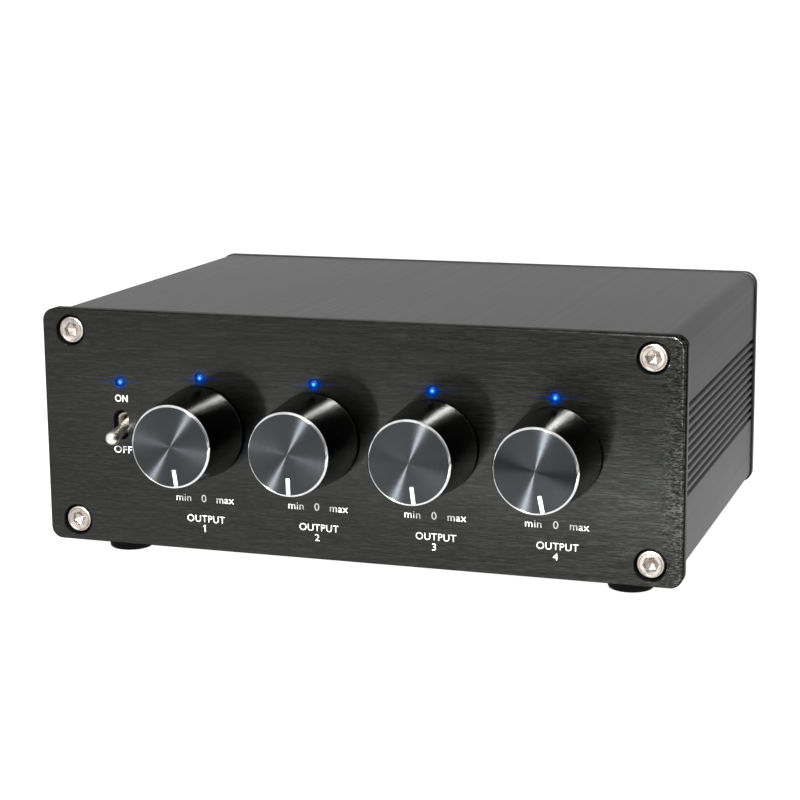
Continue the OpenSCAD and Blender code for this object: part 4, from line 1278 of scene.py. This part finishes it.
class SPLITTER_OT_switch(bpy.types.Operator):
    """Makes the plated lever and bushing of the power switch"""

    bl_idname = "splitter.switch"
    bl_label = "Power switch"

    def execute(self, context):
        sizes = context.scene.splitter_switch
        joint = [j for j in frame["joints"] if j["name"] == "power_toggle"][0]
        pivot = Matrix.Translation(joint["pos_m"]) @ Matrix.Rotation(sizes.lever_tilt, 4, "X")
        mesh = mesh_of("lever", spin(self.bat(sizes), LEVER_CORNERS), pivot)
        add_piece("switch_bat", mesh, finish("switch_plating"), "lever",
                  ["switch_lever"])
        middle, half = span("switch_bushing")
        outer, inner = half.x, half.x - sizes.bushing_wall
        ring = fillet([(inner, -half.y), (outer, -half.y), (outer, half.y), (inner, half.y)],
                      [sizes.bushing_round, sizes.bushing_round, 0, 0], steps=4)
        mesh = mesh_of("bushing", spin(ring, BUSHING_CORNERS, closed=True),
                       Matrix.Translation(middle))
        add_piece("switch_ring", mesh, finish("switch_plating"),
                  nodes=["switch_bushing"])
        self.lining(context, middle)
        return {"FINISHED"}

    def bat(self, sizes):
        """Profile of the lever from its ball, along -y, to its round tip."""
        ball, shaft = sizes.lever_ball / 2, sizes.lever / 2
        neck, tip, reach = sizes.lever_neck / 2, sizes.lever_tip / 2, sizes.lever_length
        seat = math.sqrt(ball ** 2 - shaft ** 2)
        join = math.sqrt(tip ** 2 - neck ** 2)
        turns = arc(0, math.pi - math.asin(shaft / ball))
        back = [(ball * math.sin(a), ball * math.cos(a)) for a in turns]
        turns = arc(math.asin(neck / tip), math.pi)
        front = [(tip * math.sin(a), tip * math.cos(a) - reach) for a in turns]
        middle = [(shaft, -seat), (shaft, -sizes.lever_straight), (neck, join - reach)]
        return [(0, ball), *back[1:-1], *middle, *front[1:-1], (0, -reach - tip)]

    def lining(self, context, middle):
        """A black sheet in the slot, which paints the shade inside it."""
        panel = context.scene.splitter_case
        low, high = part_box("front_panel")
        ends = (low.y + panel.slot_edge, high.y - panel.bushing_seat)
        wall = context.scene.splitter_fasteners.lining
        loops = [capsule(panel.slot_width - 2 * inset, panel.slot_height - 2 * inset)
                 for inset in (SNUG, SNUG + wall)]
        outer, inner = [[(shifted(loop, middle.x, middle.z), y) for y in ends] for loop in loops]
        mesh = mesh_of("slot", plate(outer, [inner]))
        add_piece("slot_lining", mesh, finish("black_lining"))


class SPLITTER_OT_lamps(bpy.types.Operator):
    """Makes the five blue lamps"""

    bl_idname = "splitter.lamps"
    bl_label = "Lamps"

    def execute(self, context):
        sizes = context.scene.splitter_switch
        panel, panel_half = span("front_panel")
        for name in ("power", *KNOBS):
            node = f"lamp_{name}"
            middle, half = span(node)
            lens, collar = sizes.lens / 2, half.x
            start, depth = middle.y - half.y, 2 * half.y
            shoulder = panel.y + panel_half.y - start
            profile = fillet(
                [(0, 0), (lens, 0), (lens, shoulder), (collar, shoulder), (collar, depth),
                 (0, depth)],
                [0, sizes.lens_round, 0, 0, 0, 0], steps=6, closed=False)
            place = Matrix.Translation((middle.x, start, middle.z))
            mesh = mesh_of("lamp", spin(profile, LAMP_CORNERS), place)
            lamp = add_piece(f"lens_{name}", mesh, finish("lit_lens"), nodes=[node])
            lamp.visible_glossy = False
        return {"FINISHED"}


class SPLITTER_OT_lettering(bpy.types.Operator):
    """Prints the plain words and numbers on both panels"""

    bl_idname = "splitter.lettering"
    bl_label = "Lettering"

    def execute(self, context):
        sizes = context.scene.splitter_letters
        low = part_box("front_panel")[0]
        capital, figure = sizes.capital, sizes.range_height
        mark_x = place_of("switch_bushing")[0] + sizes.mark_x
        words = [("ON", mark_x, sizes.on_z, capital, BOLD, 0.89),
                 ("OFF", mark_x, sizes.off_z, capital, BOLD, 1.1)]
        for i in KNOBS:
            x = place_of(f"knob_{i}_shell")[0]
            words += [("min", x + sizes.range_left, sizes.range_z, figure, PLAIN, 1.04),
                      ("0", x + sizes.range_middle, sizes.range_z, figure, FIGURE, 1.08),
                      ("max", x + sizes.range_right, sizes.range_z, figure, BOLD, 1.02),
                      ("OUTPUT", x + sizes.name_x, sizes.name_z, capital, PLAIN, 1),
                      (str(i), x + sizes.number_x, sizes.number_z, capital, PLAIN, 1.1)]
        facing = Matrix.Translation((0, low.y, low.z)) @ Matrix.Rotation(math.pi / 2, 4, "X")
        self.print_words("front_lettering", words, facing, sizes)
        self.back(sizes)
        return {"FINISHED"}

    def back(self, sizes):
        low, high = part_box("rear_panel")
        capital = sizes.capital
        names = ["OUTPUT", "OUTPUT", "OUTPUT", "OUTPUT", "INPUT"]
        numbers = ["4", "3", "2", "1", ""]
        words = []
        for (x, z), name, digit in zip(jack_places((1,)), names, numbers):
            words += [(name, -x, sizes.rear_name_z, capital, BOLD, 1),
                      (digit, -x, sizes.rear_number_z, capital, BOLD, 1.1)]
        inlet_z = sizes.rear_number_z - INLET_NAME_DROP
        words.append(("DC IN", -place_of("inlet_pin")[0], inlet_z, capital, BOLD, 1))
        facing = Matrix.Translation((0, high.y, low.z)) @ Matrix.Rotation(math.pi, 4, "Z")
        facing = facing @ Matrix.Rotation(math.pi / 2, 4, "X")
        self.print_words("rear_lettering", words, facing, sizes)

    def print_words(self, name, words, facing, sizes):
        """Prints words given as text, middle, height, weight and stretch."""
        meshes = []
        for text, x, z, height, weight, stretch in words:
            if not text:
                continue
            if text == "1":
                mesh = self.one(height, sizes)
            else:
                mesh = self.word(text, height, weight, sizes)
            place = Matrix.Translation((x, z - height / 2, 0))
            mesh.transform(facing @ (place @ Matrix.Diagonal((stretch, 1, 1, 1))))
            meshes.append(mesh)
        add_piece(name, joined(name, meshes), finish("white_ink"))

    def one(self, height, sizes):
        """The figure 1 with a slanted flag."""
        outline = [(a * height, b * height) for a, b in FIGURE_ONE]
        shape = plate([(outline, 0), (outline, sizes.thickness)], [])
        upright = Matrix.Rotation(math.pi / 2, 4, "X") @ Matrix.Diagonal((1, 1, -1, 1))
        return mesh_of("one", shape, upright)

    def word(self, text, height, weight, sizes):
        """A word as a thin closed mesh, centred across."""
        curve = bpy.data.curves.new(text, "FONT")
        curve.body = text
        curve.size = height / CAPITAL_SHARE
        curve.offset = weight * height
        curve.space_character = LETTER_SPACE
        curve.extrude = sizes.thickness / 2
        curve.resolution_u = LETTER_STEPS
        holder = bpy.data.objects.new(text, curve)
        bpy.context.scene.collection.objects.link(holder)
        bpy.context.view_layer.update()
        graph = bpy.context.evaluated_depsgraph_get()
        mesh = bpy.data.meshes.new_from_object(holder.evaluated_get(graph))
        bpy.data.objects.remove(holder)
        bpy.data.curves.remove(curve)
        across = [v.co.x for v in mesh.vertices]
        centre = (min(across) + max(across)) / 2
        mesh.transform(Matrix.Translation((-centre, 0, sizes.thickness / 2)))
        return mesh


class SPLITTER_OT_jacks(bpy.types.Operator):
    """Makes the phono jacks and the power inlet on the back"""

    bl_idname = "splitter.jacks"
    bl_label = "Jacks"

    def execute(self, context):
        sizes = context.scene.splitter_jacks
        low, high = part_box("jack_sleeves")
        reach_x = high.x - low.x - sizes.sleeve
        middle_x = (low.x + high.x) / 2
        rows = sorted({round(z, 6) for x, z in jack_places((-1, 1))})
        middle_z = sum(rows) / 2
        both = (sizes.columns, 2, reach_x, rows[1] - rows[0], (middle_x, 0, middle_z))
        outer = sizes.sleeve / 2
        inner, lip = outer - sizes.sleeve_wall, sizes.sleeve_lip
        sleeve = fillet([(inner, low.y), (outer, low.y), (outer, high.y), (inner, high.y)],
                        [0, 0, lip, lip], steps=4)
        self.repeat("jack_barrels", sleeve, both, "gold_plating", "gold_plate", "jack_sleeves")
        bore, thick = sizes.contact_bore / 2, sizes.contact / 2
        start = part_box("jack_contacts")[0].y
        end = high.y - sizes.insert_set - sizes.contact_set
        contact = fillet([(bore, start), (thick, start), (thick, end), (bore, end)],
                         [0, 0, CONTACT_ROUND, CONTACT_ROUND], steps=3)
        self.repeat("jack_springs", contact, both, "gold_plating", "gold_plate", "jack_contacts")
        insert = self.insert(sizes, inner, low.y, high.y)
        for row, tint in ((1, "white"), (0, "red")):
            line = (sizes.columns, 1, reach_x, 0, (middle_x, 0, rows[row]))
            self.repeat(f"jack_{tint}_rings", insert, line, f"{tint}_plastic", f"insert_{tint}",
                        f"jack_inserts_{tint}")
        line = (sizes.columns, 1, reach_x, 0, (middle_x, 0, middle_z))
        self.screws(context.scene.splitter_fasteners, line)
        self.inlet(sizes)
        return {"FINISHED"}

    def repeat(self, name, profile, grid, finish_name, slot, node):
        mesh = mesh_of(name, spin(profile, JACK_CORNERS, closed=True))
        mesh = on_grid(mesh, finish(finish_name), *grid)
        add_piece(name, mesh, finish(finish_name), nodes=[node])

    def insert(self, sizes, inner, low_y, high_y):
        """A ring of plastic around the contact, with a bevelled mouth."""
        room, outer = sizes.contact / 2 + INSERT_PLAY, inner - INSERT_PLAY
        start, end = low_y + INSERT_START, high_y - sizes.insert_set
        return fillet([(room, start), (outer, start), (outer, end), (room, end)],
                      [0, 0, INSERT_ROUND, sizes.insert_mouth], steps=4)

    def screws(self, fasteners, grid):
        low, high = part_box("jack_screws")
        head, top = fasteners.jack_head / 2, high.y
        under, floor = top - fasteners.jack_head_height, top - DRIVE_DEPTH
        profile = fillet(
            [(0, floor), (DRIVE_RADIUS, floor), (DRIVE_RADIUS, top), (head, top), (head, under),
             (JACK_SHANK, under), (JACK_SHANK, low.y), (0, low.y)],
            [0, 0, 0, JACK_HEAD_ROUND, 0, 0, 0, 0], steps=5, closed=False)
        mesh = mesh_of("jack_screw", spin(profile, JACK_SCREW_CORNERS))
        mesh = on_grid(mesh, finish("black_steel"), *grid)
        add_piece("jack_screw_set", mesh, finish("black_steel"),
                  nodes=["jack_screws"])

    def inlet(self, sizes):
        """The round mouth of the inlet, which stands in its housing, and its pin."""
        pin, half = span("inlet_pin")
        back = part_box("inlet_housing")[1].y
        collar, bore = sizes.collar / 2, sizes.inlet / 2
        floor = back - sizes.inlet_depth
        case_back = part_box("case_shell")[1].y
        mouth = fillet(
            [(0, floor), (bore, floor), (bore, back), (collar, back), (collar, case_back),
             (collar, floor - INLET_FLOOR), (0, floor - INLET_FLOOR)],
            [0, 0, sizes.inlet_mouth, COLLAR_ROUND, 0, 0, 0], steps=4, closed=False)
        place = Matrix.Translation((pin.x, 0, pin.z))
        mesh = mesh_of("mouth", spin(mouth, INLET_CORNERS), place)
        add_piece("inlet_mouth", mesh, finish("moulded_black"))
        start, end = pin.y - half.y, pin.y + half.y
        profile = fillet([(0, start), (half.x, start), (half.x, end), (0, end)],
                         [0, 0, PIN_ROUND * half.x, 0], steps=4, closed=False)
        mesh = mesh_of("pin", spin(profile, PIN_CORNERS), place)
        add_piece("inlet_spike", mesh, finish("tin_plating"), nodes=["inlet_pin"])


class SPLITTER_OT_inside(bpy.types.Operator):
    """Gives the CAD pieces that stay in place their finishes"""

    bl_idname = "splitter.inside"
    bl_label = "Inner pieces"

    def execute(self, context):
        plain = {
            "tin_plating": ["pot_nuts", "pot_washers", "switch_pins", "lamp_leads",
                            *[f"pot_{i}_{part}" for i in KNOBS for part in ("shaft", "body")]],
            "moulded_black": ["switch_housing", "chip_sockets", "amplifier_chips",
                              "voltage_regulator", "jack_housings", "inlet_housing",
                              *[f"knob_{i}_core" for i in KNOBS]],
            "circuit_lacquer": ["main_board"],
            "sleeve_film": ["coupling_capacitors", "supply_capacitors"],
            "blue_lacquer": ["resistors"],
        }
        for name, nodes in plain.items():
            for node in nodes:
                for slot in frame["nodes"][node].material_slots:
                    slot.material = finish(name)
        return {"FINISHED"}


# Stage


class SPLITTER_OT_stage(bpy.types.Operator):
    """Sets the camera, the light and the pale floor"""

    bl_idname = "splitter.stage"
    bl_label = "Stage"

    def execute(self, context):
        look = context.scene.splitter_stage
        context.scene.view_settings.view_transform = "Standard"
        self.camera(context, look)
        self.key_light(context, look)
        self.floor(context, look)
        self.table(context, look)
        self.world(context, look)
        self.glow(context, look)
        return {"FINISHED"}

    def glow(self, context, look):
        """A soft blue glow and a level streak around the lamps, which are bluer than all else."""
        context.scene.use_nodes = True
        tree = context.scene.node_tree
        tree.nodes.clear()

        def node(kind, *inputs, **settings):
            made = tree.nodes.new(kind)
            for key, value in settings.items():
                setattr(made, key, value)
            for place, value in enumerate(inputs):
                if isinstance(value, bpy.types.NodeSocket):
                    tree.links.new(value, made.inputs[place])
                else:
                    made.inputs[place].default_value = value
            return made

        def maths(operation, first, second, clamp=False):
            made = node("CompositorNodeMath", first, second, operation=operation, use_clamp=clamp)
            return made.outputs[0]

        def blurred(value, *size):
            made = node("CompositorNodeBlur", value, filter_type="GAUSS")
            made.inputs["Size"].default_value = size
            return made.outputs["Image"]

        image = node("CompositorNodeRLayers").outputs["Image"]
        parts = node("CompositorNodeSeparateColor", image).outputs
        redder = maths("MULTIPLY", parts["Red"], RED_WEIGHT)
        bluer = maths("SUBTRACT", parts["Blue"], redder)
        lamp = maths("SUBTRACT", bluer, look.glow_from, True)
        halo = maths("MULTIPLY", blurred(lamp, look.glow_size, look.glow_size), look.glow)
        soft = blurred(lamp, look.streak_size, STREAK_THICKNESS)
        light = maths("ADD", halo, maths("MULTIPLY", soft, look.streak))
        red, green = (maths("MULTIPLY", light, share) for share in (GLOW_RED, GLOW_GREEN))
        tint = node("CompositorNodeCombineColor", red, green, light, 0.0).outputs["Image"]
        mixed = node("CompositorNodeMixRGB", 1.0, image, tint, blend_type="ADD")
        node("CompositorNodeComposite", mixed.outputs["Image"])

    def camera(self, context, look):
        data = bpy.data.cameras.new("camera")
        data.lens = look.lens
        data.clip_start = CLIP_START
        camera = bpy.data.objects.new("camera", data)
        context.scene.collection.objects.link(camera)
        turn = Matrix.Rotation(look.camera_turn, 4, "Z")
        drop = Matrix.Rotation(math.pi / 2 - look.camera_drop, 4, "X")
        roll = Matrix.Rotation(look.camera_roll, 4, "Z")
        camera.matrix_world = Matrix.Translation(look.camera_place) @ turn @ drop @ roll
        context.scene.camera = camera

    def key_light(self, context, look):
        """A round lamp toward the front panel, which doesn't light the knobs' sides."""
        data = bpy.data.lights.new("key", "AREA")
        data.shape = "DISK"
        data.size = look.key_size
        data.energy = look.key_power
        light = bpy.data.objects.new("key", data)
        context.scene.collection.objects.link(light)
        place = Vector(look.key_place)
        facing = (place - span("front_panel")[0]).to_track_quat("Z", "Y").to_matrix().to_4x4()
        light.matrix_world = Matrix.Translation(place) @ facing
        light.light_linking.receiver_collection = bpy.data.collections.new(KEY_SHADE)

    def sheet(self, context, name, size, height, material):
        """A square sheet that lies level."""
        half = size / 2
        corners = [(x * half, y * half, height) for x, y in ((-1, -1), (1, -1), (1, 1), (-1, 1))]
        mesh = bpy.data.meshes.new(name)
        mesh.from_pydata(corners, [], [(0, 1, 2, 3)])
        mesh.materials.append(material)
        sheet = bpy.data.objects.new(name, mesh)
        context.scene.collection.objects.link(sheet)
        return sheet

    def floor(self, context, look):
        """The pale floor, which gloss doesn't show."""
        make = Finish("studio_floor")
        cloud = make.noise(make.place(FLOOR_CLOUD), detail=3)
        make.set(Emission_Color=(1, 1, 1), Emission_Strength=look.floor_glow,
                 Specular_IOR_Level=0.2)
        tint = make.shade(cloud, list(context.scene.splitter_finish.floor), 0.98, 1.02)
        material = make.wire(tint, make.spread(cloud, 0.6, 0.7))
        floor = self.sheet(context, "floor", look.floor_size, 0, material)
        floor.visible_glossy = False

    def table(self, context, look):
        """A table top seen only in gloss, palest beside the box, with a dark band and a strip."""
        make = Finish("table_top")
        place = make.place()
        away = make.node("ShaderNodeVectorMath", operation="LENGTH")
        across = make.node("ShaderNodeVectorMath", operation="DOT_PRODUCT")
        across.inputs[1].default_value = look.band
        for node in (away, across):
            make.join(place, node.inputs[0])
        fade = make.spread(away.outputs["Value"], look.table_near, look.table_far, *TABLE_FADE)
        edges = (look.band_start - TABLE_BAND, look.band_start + TABLE_BAND)
        white, lit, dark = ([light] * 3 for light in (1, look.band_light, look.band_dark))
        band = make.blend(make.spread(across.outputs["Value"], 0, 1, *edges),
                          *zip(BAND_STOPS, (white, lit, lit, dark, dark, white)))
        make.join(make.math("MULTIPLY", fade, band), make.shader.inputs["Emission Strength"])
        make.set(Base_Color=(0, 0, 0), Roughness=1.0, Specular_IOR_Level=0.0,
                 Emission_Color=white)
        table = self.sheet(context, "table", look.table_size, look.table_lift, make.material)
        table.visible_camera = False
        table.visible_diffuse = False
        table.visible_transmission = False
        table.visible_shadow = False

    def world(self, context, look):
        """White surroundings with a dark opening on the side of the camera."""
        world = bpy.data.worlds.new("studio")
        context.scene.world = world
        world.use_nodes = True
        nodes, links = world.node_tree.nodes, world.node_tree.links
        back = nodes["Background"]
        back.inputs["Strength"].default_value = look.world_light
        toward = nodes.new("ShaderNodeVectorMath")
        toward.operation = "DOT_PRODUCT"
        toward.inputs[1].default_value = Vector(look.opening).normalized()
        links.new(nodes.new("ShaderNodeTexCoord").outputs["Generated"], toward.inputs[0])
        ramp = nodes.new("ShaderNodeValToRGB")
        lights = (1, look.opening_light)
        for stop, edge, light in zip(ramp.color_ramp.elements, OPENING_EDGES, lights):
            stop.position, stop.color = edge, (light, light, light, 1)
        links.new(toward.outputs["Value"], ramp.inputs["Fac"])
        links.new(ramp.outputs["Color"], back.inputs["Color"])


# The stage comes first, because the knobs' sides join the pieces that the key light leaves out
OPERATORS = (
    SPLITTER_OT_stage, SPLITTER_OT_front_panel, SPLITTER_OT_case, SPLITTER_OT_fasteners,
    SPLITTER_OT_knobs, SPLITTER_OT_switch, SPLITTER_OT_lamps, SPLITTER_OT_lettering,
    SPLITTER_OT_jacks, SPLITTER_OT_inside,
)


class SPLITTER_PT_sidebar(bpy.types.Panel):
    """Lists the steps that build the splitter box"""

    bl_label = "Splitter box"
    bl_idname = "SPLITTER_PT_sidebar"
    bl_space_type = "VIEW_3D"
    bl_region_type = "UI"
    bl_category = "Splitter"

    def draw(self, context):
        column = self.layout.column(align=True)
        for operator in OPERATORS:
            column.operator(operator.bl_idname)


def register():
    for group in GROUPS.values():
        bpy.utils.register_class(group)
    for name, group in GROUPS.items():
        setattr(bpy.types.Scene, name, PointerProperty(type=group))
    for operator in OPERATORS:
        bpy.utils.register_class(operator)
    bpy.utils.register_class(SPLITTER_PT_sidebar)


def unregister():
    bpy.utils.unregister_class(SPLITTER_PT_sidebar)
    for operator in reversed(OPERATORS):
        bpy.utils.unregister_class(operator)
    for name, group in reversed(GROUPS.items()):
        delattr(bpy.types.Scene, name)
        bpy.utils.unregister_class(group)


def main():
    register()
    for operator in OPERATORS:
        group, name = operator.bl_idname.split(".")
        getattr(getattr(bpy.ops, group), name)()


if __name__ == "__main__":
    main()
